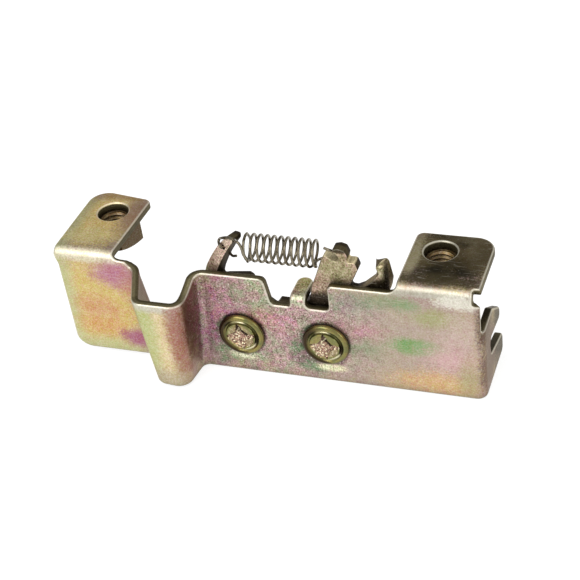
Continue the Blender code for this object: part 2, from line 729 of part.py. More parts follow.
def nut_trim_mesh(name, collection):
    """Bored and chamfered round that trims a nut's hexagon."""
    corner = NUT_FLATS / math.sqrt(3.0)
    chamfer = 0.62
    profile = [
        (NUT_BORE_RADIUS + 0.5, 0.0),
        (corner + 0.3, 0.0),
        (corner + 0.3, -NUT_HEIGHT + chamfer),
        (NUT_FLATS / 2.0 - 0.15, -NUT_HEIGHT),
        (NUT_BORE_RADIUS + 0.4, -NUT_HEIGHT),
        (NUT_BORE_RADIUS, -NUT_HEIGHT + 0.4),
        (NUT_BORE_RADIUS, -0.5),
    ]
    bm = turned(name, profile + profile[:1], collection, steps=24)
    return mesh_from(bm, name)


def spring_route():
    """Wire's centre line: left hook through the catch arm, the coils, and the right hook."""
    total = SPRING_TURNS * POINTS_PER_TURN
    coils = []
    for step in range(total + 1):
        angle = SPRING_START + 2.0 * math.pi * step / POINTS_PER_TURN
        coils.append(Vector((
            SPRING_LEFT + (SPRING_RIGHT - SPRING_LEFT) * step / total,
            SPRING_DEPTH + SPRING_RADIUS * math.sin(angle),
            SPRING_HEIGHT - SPRING_RADIUS * math.cos(angle))))
    return hook_left(coils[0]) + coils + hook_right(coils[-1])


def smooth_through(knots, steps):
    """Catmull-Rom curve through the knots, without its last point."""
    points = [Vector(knot) for knot in knots]
    padded = [2.0 * points[0] - points[1]] + points + [2.0 * points[-1] - points[-2]]
    curve = []
    for index in range(1, len(padded) - 2):
        p0, p1, p2, p3 = padded[index - 1:index + 3]
        for step in range(steps):
            t = step / steps
            curve.append(0.5 * (
                2.0 * p1 + (p2 - p0) * t
                + (2.0 * p0 - 5.0 * p1 + 4.0 * p2 - p3) * t * t
                + (3.0 * p1 - 3.0 * p2 + p3 - p0) * t ** 3))
    return curve


def hook_left(start):
    """Hook through the hole of the catch arm and round its back, from its loose end to the first coil."""
    pivot = Vector((CATCH_PIVOT, SHEET + GAP, PIVOT_HEIGHT))
    clear = WIRE_RADIUS + GAP
    hole = arm_centre(HOOK_HOLE_HEIGHT) + 0.15

    def by_arm(across, depth, rise):
        return pivot + twisted(hole + across, depth, HOOK_HOLE_HEIGHT + rise)

    behind = LEVER_SHEET + clear
    knots = [
        by_arm(0.5, behind + 0.3, -3.7),
        by_arm(-0.3, behind + 0.4, -3.2),
        by_arm(-0.15, behind + 0.35, -1.5),
        by_arm(0.0, LEVER_SHEET + 0.35, -0.2),
        by_arm(0.0, LEVER_SHEET / 2.0, 0.0),
        by_arm(0.0, -0.35, 0.1),
        by_arm(-0.75, -clear - 0.25, 0.3),
        by_arm(-1.75, -0.15, 0.4),
        by_arm(-2.1, 1.3, 0.5),
        by_arm(-1.6, behind - 0.2, 0.5),
        by_arm(0.2, behind + 0.1, 0.6),
        by_arm(1.8, behind + 0.05, 0.8),
        by_arm(2.95, LEVER_SHEET - 0.4, 1.1),
        start + Vector((-0.45, 0.75, 2.4)),
        start,
    ]
    return smooth_through(knots, 3)


def hook_right(end):
    """Hook behind the release lever and up through its notch, from the last coil to the loose end."""
    pivot = Vector((RELEASE_PIVOT, SHEET + GAP, PIVOT_HEIGHT))
    behind = LEVER_SHEET + WIRE_RADIUS + GAP
    knots = [
        end,
        end + Vector((-0.15, 1.0, -0.8)),
        pivot + Vector((-1.55, 1.6, 16.95)),
        pivot + Vector((-1.5, 2.6, 16.9)),
        pivot + Vector((-0.8, behind + 0.1, 17.0)),
        pivot + Vector((0.9, behind + 0.25, 17.6)),
        pivot + Vector((2.5, behind + 0.15, 18.8)),
        pivot + Vector((3.1, LEVER_SHEET + 0.1, 19.6)),
        pivot + Vector((2.75, LEVER_SHEET - 0.5, 20.0)),
        pivot + Vector((1.8, LEVER_SHEET - 0.6, 20.95)),
        pivot + Vector((0.7, LEVER_SHEET - 0.9, 21.3)),
    ]
    route = smooth_through(knots, 3)
    return route[1:] + [Vector(knots[-1])]


def spring_mesh():
    """Round wire along the spring's route."""
    route = spring_route()
    curve = bpy.data.curves.new("wire", "CURVE")
    curve.dimensions = "3D"
    curve.bevel_depth = WIRE_RADIUS * MM
    curve.bevel_resolution = 2
    curve.use_fill_caps = True
    spline = curve.splines.new("POLY")
    spline.points.add(len(route) - 1)
    for point, place in zip(spline.points, route):
        point.co = (*(place * MM), 1.0)
    holder = bpy.data.objects.new("wire", curve)
    bpy.context.scene.collection.objects.link(holder)
    bpy.context.view_layer.update()
    mesh = bpy.data.meshes.new_from_object(holder.evaluated_get(bpy.context.evaluated_depsgraph_get()))
    bpy.data.objects.remove(holder, do_unlink=True)
    bm = bmesh.new()
    bm.from_mesh(mesh)
    bpy.data.meshes.remove(mesh)
    bmesh.ops.remove_doubles(bm, verts=bm.verts[:], dist=0.000001)
    return mesh_from(bm, "tension_spring")


def build():
    """Makes every piece of the seat lock."""
    remove_everything()
    parts = new_collection("seat_lock")
    cutters = new_collection("cutters")
    add_part("bracket", bracket_mesh(), parts, "zinc")
    lever_face = SHEET + GAP
    add_part("catch_lever", catch_mesh(), parts, "dark_zinc", (CATCH_PIVOT, lever_face, PIVOT_HEIGHT))
    add_part("release_lever", release_mesh(), parts, "dark_zinc", (RELEASE_PIVOT, lever_face, PIVOT_HEIGHT))
    for name, x, turn in (
        ("catch_pivot_rivet", CATCH_PIVOT, math.radians(50.0)),
        ("release_pivot_rivet", RELEASE_PIVOT, math.radians(38.0)),
    ):
        rivet = add_part(name, rivet_mesh(name, cutters), parts, "rivet_zinc", (x, 0.0, PIVOT_HEIGHT))
        marks = add_cutter(name + "_marks", stake_mesh(name + "_marks", turn), cutters, (x, 0.0, PIVOT_HEIGHT))
        boolean(rivet, marks, "DIFFERENCE")
    for name, x, depth in (
        ("left_weld_nut", -TAB_HOLE_SPACING / 2.0, LEFT_HOLE_DEPTH),
        ("right_weld_nut", TAB_HOLE_SPACING / 2.0, RIGHT_HOLE_DEPTH),
    ):
        place = (x, depth, -SHEET - GAP)
        nut = add_part(name, nut_mesh(name), parts, "dark_zinc", place)
        trim = add_cutter(name + "_trim", nut_trim_mesh(name + "_trim", cutters), cutters, place)
        boolean(nut, trim, "INTERSECT")
    add_part("tension_spring", spring_mesh(), parts, "spring_steel")


build()
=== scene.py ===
"""Looks of the seat lock: a plated sheet bracket, two levers on staked pivots and a tension spring.

Lengths are in millimetres until a mesh is finished, and then in metres. X runs along the bracket, Y runs
back from its front face and Z runs up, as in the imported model.
"""
import logging
import math
from collections.abc import Callable, Sequence
from dataclasses import dataclass, field
from enum import Enum, IntEnum

import bmesh
import bpy
import numpy as np
from mathutils import Matrix, Vector, noise
from mathutils.geometry import delaunay_2d_cdt


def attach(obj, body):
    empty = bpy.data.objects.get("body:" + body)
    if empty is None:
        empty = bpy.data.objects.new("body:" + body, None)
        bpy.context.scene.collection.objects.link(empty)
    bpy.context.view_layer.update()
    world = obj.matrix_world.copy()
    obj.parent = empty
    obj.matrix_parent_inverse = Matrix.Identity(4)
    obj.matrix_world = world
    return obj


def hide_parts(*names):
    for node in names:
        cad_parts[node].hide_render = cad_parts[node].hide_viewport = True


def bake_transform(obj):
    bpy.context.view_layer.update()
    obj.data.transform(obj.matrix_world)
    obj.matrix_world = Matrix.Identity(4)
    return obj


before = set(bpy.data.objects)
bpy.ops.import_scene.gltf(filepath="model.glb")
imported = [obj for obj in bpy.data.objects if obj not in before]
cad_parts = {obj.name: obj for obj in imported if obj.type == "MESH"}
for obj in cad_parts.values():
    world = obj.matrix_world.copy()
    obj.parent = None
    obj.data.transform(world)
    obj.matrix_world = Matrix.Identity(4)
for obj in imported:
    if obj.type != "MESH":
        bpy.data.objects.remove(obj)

LOG = logging.getLogger("seat_lock")
MM = 0.001

# Sizes and places that several pieces share
GAP = 0.3
SHEET = 1.6
LEVER_SHEET = 2.6
CATCH_REACH = 12.7
TONGUE_RIGHT = 11.25
TONGUE_TOP = -5.5
PIVOT_HEIGHT = -16.13
CATCH_X = -3.12
RELEASE_X = 14.81
HOLE_SPACING = 71.8
HOLE_DEPTHS = (15.2, 12.5)

Point = tuple[float, float]
Corner = tuple[float, float, float]
Colour = tuple[float, float, float, float]
Place = Callable[[float, float, float], Vector]


class Body(Enum):
    """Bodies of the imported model."""

    BRACKET = "bracket_body"
    CATCH = "catch_body"
    RELEASE = "release_body"


class Slot(Enum):
    """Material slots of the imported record."""

    YELLOW_ZINC = "yellow_zinc"
    DARK_ZINC = "dark_zinc"
    RIVET_ZINC = "rivet_zinc"
    SPRING_STEEL = "spring_steel"


# ---- Drawing helpers ----


def ease(share: float) -> float:
    """Smooth step from 0 to 1."""
    share = min(1.0, max(0.0, share))
    return share * share * (3.0 - 2.0 * share)


def polar(radius: float, angle: float, centre: Point = (0.0, 0.0)) -> Point:
    """Point at a radius and an angle from a centre."""
    return centre[0] + radius * math.cos(angle), centre[1] + radius * math.sin(angle)


def hole(centre: Point, radius: float, steps: int = 72) -> list[Point]:
    """Clockwise points round a hole, so that the sheet lies to the left of them."""
    return [polar(radius, -2.0 * math.pi * step / steps, centre) for step in range(steps)]


def rounded(corners: Sequence[Corner], step_angle: float = 10.0) -> list[Point]:
    """Draws an outline through corners, each with an arc where its radius isn't zero.

    Args:
        corners: x, z and radius of each corner, anticlockwise.
        step_angle: largest angle between two points of an arc, in degrees.

    Returns:
        The points of the outline.
    """
    outline = []
    count = len(corners)
    for index, (x, z, radius) in enumerate(corners):
        here = Vector((x, z))
        before = Vector(corners[index - 1][:2]) - here
        after = Vector(corners[(index + 1) % count][:2]) - here
        turn = math.pi - before.angle(after)
        if radius <= 0.0 or turn < math.radians(2.0):
            outline.append((x, z))
            continue
        reach = min(radius * math.tan(turn / 2.0), 0.49 * before.length, 0.49 * after.length)
        radius = reach / math.tan(turn / 2.0)
        start = here + before.normalized() * reach
        middle = (before.normalized() + after.normalized()).normalized()
        centre = here + middle * math.hypot(reach, radius)
        steps = max(2, math.ceil(turn / math.radians(step_angle)))
        side = 1.0 if before.x * after.y - before.y * after.x < 0.0 else -1.0
        arm = start - centre
        for step in range(steps + 1):
            swung = Matrix.Rotation(side * turn * step / steps, 2) @ arm
            outline.append((centre.x + swung.x, centre.y + swung.y))
    return outline


def smooth_through(knots: Sequence[Vector], steps: int) -> list[Vector]:
    """Runs a smooth curve through knots.

    Args:
        knots: points on the curve.
        steps: parts into which each stretch is divided.

    Returns:
        Points of the curve, without its last point.
    """
    points = [Vector(knot) for knot in knots]
    padded = [2.0 * points[0] - points[1]] + points + [2.0 * points[-1] - points[-2]]
    curve = []
    for index in range(1, len(padded) - 2):
        p0, p1, p2, p3 = padded[index - 1:index + 3]
        for step in range(steps):
            t = step / steps
            curve.append(0.5 * (
                2.0 * p1 + (p2 - p0) * t
                + (2.0 * p0 - 5.0 * p1 + 4.0 * p2 - p3) * t * t
                + (3.0 * p1 - 3.0 * p2 + p3 - p0) * t ** 3))
    return curve


def fold_back(height: float, depth: float, fold_top: float, radius: float) -> Point:
    """Folds the upper part of a sheet back.

    Args:
        height: height of the point in the flat sheet.
        depth: its depth behind the front face.
        fold_top: level of the folded part's upper face.
        radius: outer radius of the fold.

    Returns:
        Height and depth of the point after the fold.
    """
    run = height - (fold_top - radius)
    if run <= 0.0:
        return height, depth
    quarter = radius * math.pi / 2.0
    if run < quarter:
        angle = run / radius
        reach = radius - depth
        return fold_top - radius + reach * math.sin(angle), radius - reach * math.cos(angle)
    return fold_top - depth, radius + run - quarter


def unfold(depth: float, fold_top: float, radius: float) -> float:
    """Height in the flat sheet of a point that lies this deep on the folded part."""
    return fold_top - radius + radius * math.pi / 2.0 + depth - radius


class Section:
    """Plan of a folded sheet's front face: straight runs joined by arcs."""

    def __init__(self, corners: Sequence[Corner]) -> None:
        """Takes x, y and radius of each corner, from left to right."""
        self.pieces: list[tuple[Vector, float, float, float]] = []
        points = [Vector(corner[:2]) for corner in corners]
        start = points[0]
        for index in range(1, len(points) - 1):
            into = (points[index] - points[index - 1]).normalized()
            out = (points[index + 1] - points[index]).normalized()
            heading = math.atan2(into.y, into.x)
            turn = math.atan2(into.x * out.y - into.y * out.x, into.dot(out))
            radius = corners[index][2]
            reach = radius * math.tan(abs(turn) / 2.0)
            end = points[index] - into * reach
            self.pieces.append((start, heading, 0.0, (end - start).length))
            self.pieces.append((end, heading, turn, radius * abs(turn)))
            start = points[index] + out * reach
        last = points[-1] - start
        self.pieces.append((start, math.atan2(last.y, last.x), 0.0, last.length))
        self.starts = [points[0].x]
        for piece in self.pieces:
            self.starts.append(self.starts[-1] + piece[3])

    def locate(self, run: float) -> tuple[int, float]:
        """Piece, and share of that piece, at a length along the sheet."""
        for index in range(len(self.pieces) - 1):
            if run <= self.starts[index + 1]:
                return index, (run - self.starts[index]) / self.pieces[index][3]
        index = len(self.pieces) - 1
        return index, (run - self.starts[index]) / self.pieces[index][3]

    def place(self, index: int, share: float) -> tuple[Vector, float]:
        """Point and heading at a share of one piece."""
        start, heading, turn, length = self.pieces[index]
        if turn == 0.0:
            return start + Vector((math.cos(heading), math.sin(heading))) * length * share, heading
        radius = length / abs(turn)
        side = 1.0 if turn > 0.0 else -1.0
        centre = start + Vector((-math.sin(heading), math.cos(heading))) * side * radius
        swing = Matrix.Rotation(turn * share, 2) @ (start - centre)
        return centre + swing, heading + turn * share

    def bends(self) -> list[Point]:
        """First and last length along the sheet of each bend."""
        return [
            (self.starts[index], self.starts[index + 1])
            for index, piece in enumerate(self.pieces) if piece[2] != 0.0]


# ---- Meshes ----


@dataclass(frozen=True)
class Rim:
    """Rounding of a blanked rim: the roll of the die in front and the broken burr behind."""

    roll: float = 0.36
    burr: float = 0.18
    steps: int = 4

    def rings(self, thickness: float) -> list[tuple[float, float, float]]:
        """Lays out the rim from the front face to the rear face.

        Args:
            thickness: thickness of the sheet.

        Returns:
            Inset, depth and share of the rim's side for each ring of points.
        """
        rings = []
        for step in range(self.steps + 1):
            angle = math.pi / 2.0 * step / self.steps
            rings.append((
                self.roll * (1.0 - math.sin(angle)), self.roll * (1.0 - math.cos(angle)), math.sin(angle)))
        rings.append((0.0, thickness / 2.0, 1.0))
        for step in range(self.steps, -1, -1):
            angle = math.pi / 2.0 * step / self.steps
            rings.append((
                self.burr * (1.0 - math.sin(angle)),
                thickness - self.burr * (1.0 - math.cos(angle)),
                math.sin(angle)))
        return rings


def subdivided(loop: Sequence[Point], step: Callable[[float, float], float]) -> np.ndarray:
    """Adds points to a closed loop so that none of its edges is longer than the local step."""
    points = []
    for index, (x, z) in enumerate(loop):
        end_x, end_z = loop[(index + 1) % len(loop)]
        length = math.hypot(end_x - x, end_z - z)
        if length < 1e-6:
            continue
        finest = min(step(x + (end_x - x) * t, z + (end_z - z) * t) for t in (0.1, 0.3, 0.5, 0.7, 0.9))
        parts = max(1, math.ceil(length / finest))
        points += [(x + (end_x - x) * part / parts, z + (end_z - z) * part / parts) for part in range(parts)]
    return np.array(points)


def inset(loop: np.ndarray, distance: float) -> np.ndarray:
    """Moves a closed loop into the sheet on its left, and gathers the points that would cross over.

    Args:
        loop: points of the loop.
        distance: how far it moves.

    Returns:
        As many points, of which those of an arc that is used up coincide.
    """
    if distance <= 0.0:
        return loop.copy()
    after = np.roll(loop, -1, axis=0) - loop
    normal = np.stack([-after[:, 1], after[:, 0]], axis=1) / np.linalg.norm(after, axis=1)[:, None]
    before = np.roll(normal, 1, axis=0)
    mitre = (normal + before) / np.maximum(0.35, 1.0 + (normal * before).sum(axis=1))[:, None]
    moved = loop + mitre * distance
    count = len(loop)
    for span in range(min(40, count // 2 - 1), 1, -1):
        run = np.roll(moved, -1, axis=0) - moved
        other = np.roll(moved, -span, axis=0)
        other_run = np.roll(moved, -span - 1, axis=0) - other
        gap = other - moved
        cross = run[:, 0] * other_run[:, 1] - run[:, 1] * other_run[:, 0]
        parallel = np.abs(cross) < 1e-12
        safe = np.where(parallel, 1.0, cross)
        here = (gap[:, 0] * other_run[:, 1] - gap[:, 1] * other_run[:, 0]) / safe
        there = (gap[:, 0] * run[:, 1] - gap[:, 1] * run[:, 0]) / safe
        meets = ~parallel & (here > 1e-7) & (here < 1 - 1e-7) & (there > 1e-7) & (there < 1 - 1e-7)
        for index in np.flatnonzero(meets):
            moved[(index + 1 + np.arange(span)) % count] = moved[index] + here[index] * run[index]
    return moved


def inside(points: np.ndarray, loops: Sequence[np.ndarray]) -> np.ndarray:
    """Tells which points lie inside an outline and outside its holes."""
    odd = np.zeros(len(points), bool)
    for loop in loops:
        for (x1, z1), (x2, z2) in zip(loop, np.roll(loop, -1, axis=0)):
            if z1 == z2:
                continue
            crosses = (points[:, 1] < z1) != (points[:, 1] < z2)
            odd ^= crosses & (points[:, 0] < x1 + (points[:, 1] - z1) / (z2 - z1) * (x2 - x1))
    return odd


@dataclass
class Blank:
    """Flat sheet blank, meshed finely enough to be folded along its bends."""

    outline: Sequence[Point]
    holes: Sequence[Sequence[Point]]
    thickness: float
    rim: Rim = field(default_factory=Rim)
    bends_x: Sequence[Point] = ()
    bends_z: Sequence[Point] = ()
    coarse: float = 1.1
    fine: float = 0.3
    edge: float = 0.5
    clearance: float = 0.6
    margin: float = 0.3
    stagger: float = 0.013

    def _bent(self, value: float, bends: Sequence[Point]) -> bool:
        """Whether a coordinate lies in one of the bends."""
        return any(low - self.fine <= value <= high + self.fine for low, high in bends)

    def _lines(self, low: float, high: float, bends: Sequence[Point]) -> np.ndarray:
        """Lines of the mesh between two limits, close together in the bends."""
        values = [low]
        while values[-1] < high:
            near = self._bent(values[-1], bends) or self._bent(values[-1] + self.coarse, bends)
            values.append(values[-1] + (self.fine if near else self.coarse))
        return np.array(values)

    def _step(self, x: float, z: float) -> float:
        """Longest edge of a rim at a point."""
        return self.fine if self._bent(x, self.bends_x) or self._bent(z, self.bends_z) else self.edge

    def _fill(self, rings: Sequence[np.ndarray], grid: np.ndarray) -> tuple[np.ndarray, list[list[int]]]:
        """Triangulates one face of the sheet.

        Args:
            rings: closed loops that bound the face.
            grid: points spread over the face.

        Returns:
            All the points, those of the rings first, and the triangles between them.
        """
        rim = np.concatenate(rings)
        spacing = np.array([
            np.min((rim[:, 0] - x) ** 2 + (rim[:, 1] - z) ** 2) for x, z in grid]) ** 0.5
        near = np.array([self.clearance * self._step(x, z) for x, z in grid])
        points = np.concatenate([rim, grid[inside(grid, rings) & (spacing > near)]])
        edges, first = [], 0
        for ring in rings:
            edges += [(first + index, first + (index + 1) % len(ring)) for index in range(len(ring))]
            first += len(ring)
        corners, _, faces, sources, _, _ = delaunay_2d_cdt(
            [Vector(point) for point in points], edges, [], 0, 1e-5, True)
        extra = []
        index_of = []
        for corner, source in zip(corners, sources):
            if source:
                index_of.append(source[0])
            else:
                index_of.append(len(points) + len(extra))
                extra.append(tuple(corner))
        if extra:
            points = np.concatenate([points, np.array(extra)])
        triangles = np.array([[index_of[corner] for corner in face] for face in faces])
        a, b, c = (points[triangles[:, corner]] for corner in range(3))
        area = np.abs((b[:, 0] - a[:, 0]) * (c[:, 1] - a[:, 1]) - (b[:, 1] - a[:, 1]) * (c[:, 0] - a[:, 0]))
        longest = np.max([np.linalg.norm(side, axis=1) for side in (b - a, c - b, a - c)], axis=0)
        kept = inside((a + b + c) / 3.0, rings) & (area > 2e-4 * longest)
        return points, triangles[kept].tolist()

    def mesh(self, name: str, place: Place) -> bpy.types.Mesh:
        """Meshes the blank and puts each of its points in place.

        Args:
            name: name of the mesh.
            place: gives the place in the row frame of x, depth and height in the flat blank.

        Returns:
            The finished mesh, with the flat place and the rim share of each point as attributes.
        """
        loops = [subdivided(self.outline, self._step)] + [subdivided(loop, self._step) for loop in self.holes]
        rings = self.rim.rings(self.thickness)
        flat: list[tuple[float, float, float]] = []
        shares: list[float] = []
        faces: list[list[int]] = []
        firsts = []
        for distance, depth, share in rings:
            firsts.append(len(flat))
            for loop in loops:
                flat += [(x, depth, z) for x, z in inset(loop, distance)]
            shares += [share] * (len(flat) - firsts[-1])
        for low, high in zip(firsts, firsts[1:]):
            offset = 0
            for loop in loops:
                count = len(loop)
                for index in range(count):
                    here, there = offset + index, offset + (index + 1) % count
                    faces.append([low + here, low + there, high + there, high + here])
                offset += count
        outline = loops[0]
        xs = self._lines(outline[:, 0].min() + self.margin, outline[:, 0].max(), self.bends_x)
        zs = self._lines(outline[:, 1].min() + self.margin, outline[:, 1].max(), self.bends_z)
        grid = np.array([(x + self.stagger * (row % 3), z) for row, z in enumerate(zs) for x in xs])
        for (distance, depth, _), first in ((rings[0], firsts[0]), (rings[-1], firsts[-1])):
            points, triangles = self._fill([inset(loop, distance) for loop in loops], grid)
            ring_count = sum(len(loop) for loop in loops)
            start = len(flat)
            flat += [(x, depth, z) for x, z in points[ring_count:]]
            shares += [0.0] * (len(points) - ring_count)
            moved = start - ring_count
            faces += [
                [corner + (first if corner < ring_count else moved) for corner in triangle]
                for triangle in triangles]
        mesh = bpy.data.meshes.new(name)
        mesh.from_pydata([place(*point) for point in flat], [], faces)
        mesh.attributes.new("flat", "FLOAT_VECTOR", "POINT").data.foreach_set(
            "vector", np.array(flat, np.float32).ravel())
        mesh.attributes.new("rim", "FLOAT", "POINT").data.foreach_set("value", np.array(shares, np.float32))
        return finished(mesh)


def finished(mesh: bpy.types.Mesh, merge: float = 0.0005, sharp: float = 38.0) -> bpy.types.Mesh:
    """Closes a mesh in millimetres, turns its faces out, scales it to metres and smooths it.

    Args:
        mesh: the mesh.
        merge: points closer than this become one.
        sharp: edges that turn more than this many degrees stay sharp.

    Returns:
        The same mesh.
    """
    bm = bmesh.new()
    bm.from_mesh(mesh)
    bmesh.ops.remove_doubles(bm, verts=bm.verts[:], dist=merge)
    loose = [vertex for vertex in bm.verts if not vertex.link_faces]
    bmesh.ops.delete(bm, geom=loose, context="VERTS")
    bmesh.ops.recalc_face_normals(bm, faces=bm.faces[:])
    bmesh.ops.scale(bm, verts=bm.verts[:], vec=(MM, MM, MM))
    bm.to_mesh(mesh)
    bm.free()
    mesh.shade_smooth()
    mesh.set_sharp_from_angle(angle=math.radians(sharp))
    return mesh


def lattice(rows: Sequence[Sequence[Vector]],
            close_rows: bool = False) -> tuple[list[Vector], list[list[int]]]:
    """Joins rows of points round an axis into quads.

    Args:
        rows: rows of equal length, each of them a closed loop.
        close_rows: whether the last row joins the first.

    Returns:
        The points and the faces.
    """
    count = len(rows[0])
    points = [point for row in rows for point in row]
    faces = []
    for row in range(len(rows) if close_rows else len(rows) - 1):
        low, high = row * count, (row + 1) % len(rows) * count
        for here in range(count):
            beside = (here + 1) % count
            faces.append([low + here, low + beside, high + beside, high + here])
    return points, faces


def tube(name: str, route: Sequence[Vector], radius: float, sides: int,
         caps: tuple[bool, bool]) -> bpy.types.Mesh:
    """Sweeps a round wire along a route.

    Args:
        name: name of the mesh.
        route: centre line.
        radius: radius of the wire.
        sides: points round the wire.
        caps: whether the first and the last end are rounded off and closed.

    Returns:
        The finished mesh.
    """
    points = [Vector(point) for point in route]
    tangents = []
    for index in range(len(points)):
        before = points[max(0, index - 1)]
        after = points[min(len(points) - 1, index + 1)]
        tangents.append((after - before).normalized())
    across = tangents[0].orthogonal().normalized()
    rows = []
    angles = [2.0 * math.pi * side / sides for side in range(sides)]

    def ring(centre: Vector, tangent: Vector, size: float) -> list[Vector]:
        """Points round one place of the wire."""
        up = tangent.cross(across)
        return [centre + (across * math.cos(angle) + up * math.sin(angle)) * size for angle in angles]

    for index, (point, tangent) in enumerate(zip(points, tangents)):
        across = (across - tangent * across.dot(tangent)).normalized()
        if index == 0 and caps[0]:
            rows.append(ring(point - tangent * 0.1 * radius, tangent, 0.72 * radius))
        rows.append(ring(point, tangent, radius))
        if index == len(points) - 1 and caps[1]:
            rows.append(ring(point + tangent * 0.1 * radius, tangent, 0.72 * radius))
    vertices, faces = lattice(rows)
    faces.append(list(range(sides))[::-1])
    faces.append([len(vertices) - sides + side for side in range(sides)])
    mesh = bpy.data.meshes.new(name)
    mesh.from_pydata(vertices, [], faces)
    return finished(mesh, merge=0.00001, sharp=50.0)


def new_piece(mesh: bpy.types.Mesh, material: bpy.types.Material, slot: Slot) -> bpy.types.Object:
    """Places a finished mesh in the scene with its material."""
    piece = bpy.data.objects.new(mesh.name, mesh)
    bpy.context.scene.collection.objects.link(piece)
    mesh.materials.append(material)
    return piece


def flatten_shading(piece: bpy.types.Object) -> None:
    """Weights the normals of a piece by area, so that its flat faces stay flat up to their rims."""
    modifier = piece.modifiers.new("weighted_normals", "WEIGHTED_NORMAL")
    modifier.mode = "FACE_AREA"
    modifier.keep_sharp = True


def report(piece: bpy.types.Object) -> None:
    """Logs the size of a finished piece."""
    LOG.info("%s: %d faces", piece.name, len(piece.data.polygons))


# ---- Shader wiring ----


def srgb(red: float, green: float, blue: float) -> Colour:
    """Turns a colour of 0 to 255 into the linear colour that a shader takes."""
    def linear(value: float) -> float:
        """One channel of the colour."""
        share = value / 255.0
        return share / 12.92 if share <= 0.04045 else ((share + 0.055) / 1.055) ** 2.4
    return linear(red), linear(green), linear(blue), 1.0


class Wiring:
    """Adds nodes to a tree and joins them."""

    def __init__(self, tree: bpy.types.NodeTree) -> None:
        """Takes the tree that gets the nodes."""
        self.tree = tree

    def add(self, kind: str, inputs: dict | None = None, **settings: object) -> bpy.types.Node:
        """Adds one node.

        Args:
            kind: type of the node.
            inputs: value or source socket of each named or numbered input.
            settings: properties of the node.

        Returns:
            The node.
        """
        node = self.tree.nodes.new(kind)
        for name, value in settings.items():
            setattr(node, name, value)
        for key, value in (inputs or {}).items():
            if isinstance(value, bpy.types.NodeSocket):
                self.tree.links.new(value, node.inputs[key])
            else:
                node.inputs[key].default_value = value
        return node

    def maths(self, operation: str, *values: object, clamp: bool = False) -> bpy.types.NodeSocket:
        """Result of a Math node."""
        node = self.add("ShaderNodeMath", dict(enumerate(values)), operation=operation, use_clamp=clamp)
        return node.outputs[0]

    def vectors(self, operation: str, *values: object) -> bpy.types.Node:
        """A Vector Math node."""
        return self.add("ShaderNodeVectorMath", dict(enumerate(values)), operation=operation)

    def mix(self, share: object, first: object, second: object, blend: str = "MIX") -> bpy.types.NodeSocket:
        """Mix of two colours."""
        node = self.add(
            "ShaderNodeMix", {0: share, 6: first, 7: second}, data_type="RGBA", blend_type=blend)
        return node.outputs[2]

    def ramp(self, value: object, low: object, high: object, start: object = 0.0, end: object = 1.0,
             smooth: bool = True) -> bpy.types.NodeSocket:
        """Value brought from one range to another, and held at its ends."""
        node = self.add(
            "ShaderNodeMapRange", {0: value, 1: low, 2: high, 3: start, 4: end},
            interpolation_type="SMOOTHSTEP" if smooth else "LINEAR")
        return node.outputs[0]

    def noise(self, place: object, scale: object, detail: float = 2.0, rough: float = 0.5,
              distortion: float = 0.0) -> bpy.types.Node:
        """Noise over a place in millimetres."""
        return self.add(
            "ShaderNodeTexNoise",
            {"Vector": place, "Scale": scale, "Detail": detail, "Roughness": rough, "Distortion": distortion})

    def blend(self, first: bpy.types.Node, share: float, second: bpy.types.Node,
              other_share: float) -> bpy.types.NodeSocket:
        """Weighted sum of two textures."""
        return self.maths("ADD", self.maths("MULTIPLY", first.outputs[0], share),
                          self.maths("MULTIPLY", second.outputs[0], other_share))

    def group(self, kind: bpy.types.NodeTree, inputs: dict) -> bpy.types.Node:
        """Places a node group with its own values."""
        return self.add("ShaderNodeGroup", inputs, node_tree=kind)

    def attribute(self, name: str, output: str = "Fac") -> bpy.types.NodeSocket:
        """Value or vector that the mesh holds under a name."""
        return self.add("ShaderNodeAttribute", attribute_name=name).outputs[output]

    def send(self, node: bpy.types.Node, sources: dict[str, bpy.types.NodeSocket]) -> None:
        """Joins a source to each named input of a node."""
        for name, source in sources.items():
            self.tree.links.new(source, node.inputs[name])

    def painted_occlusion_shade(self, colour: bpy.types.NodeSocket, distance: float, samples: int, low: float, high: float,
                  least: float) -> bpy.types.NodeSocket:
        """Paints shade into a colour where other metal is near, from ambient occlusion.

        Args:
            colour: the colour in the open.
            distance: how far the metal is looked for, in metres.
            samples: rays for each point.
            low: openness at which the colour is darkest.
            high: openness at which it is untouched.
            least: share of the colour that is left at the darkest.

        Returns:
            The darkened colour.
        """
        cover = self.add("ShaderNodeAmbientOcclusion", {"Distance": distance}, samples=samples)
        shade = self.ramp(cover.outputs["AO"], low, high, least, 1.0)
        grey = self.add("ShaderNodeCombineColor", {0: shade, 1: shade, 2: shade})
        return self.mix(1.0, colour, grey.outputs[0], "MULTIPLY")

    def seen(self) -> bpy.types.NodeSocket:
        """1 for what the camera and the metal's reflections see, and 0 for what lights the scene."""
        path = self.add("ShaderNodeLightPath")
        direct = self.maths("MAXIMUM", path.outputs["Is Camera Ray"], path.outputs["Is Glossy Ray"])
        return self.maths("MAXIMUM", direct, path.outputs["Is Transmission Ray"])


def new_material(name: str) -> tuple[bpy.types.Material, bpy.types.Node, Wiring]:
    """Starts a material, with its shader and its wiring."""
    material = bpy.data.materials.new(name)
    material.use_nodes = True
    return material, material.node_tree.nodes["Principled BSDF"], Wiring(material.node_tree)


class SocketKind(Enum):
    """Kinds of socket that the node groups have."""

    VALUE = "NodeSocketFloat"
    VECTOR = "NodeSocketVector"


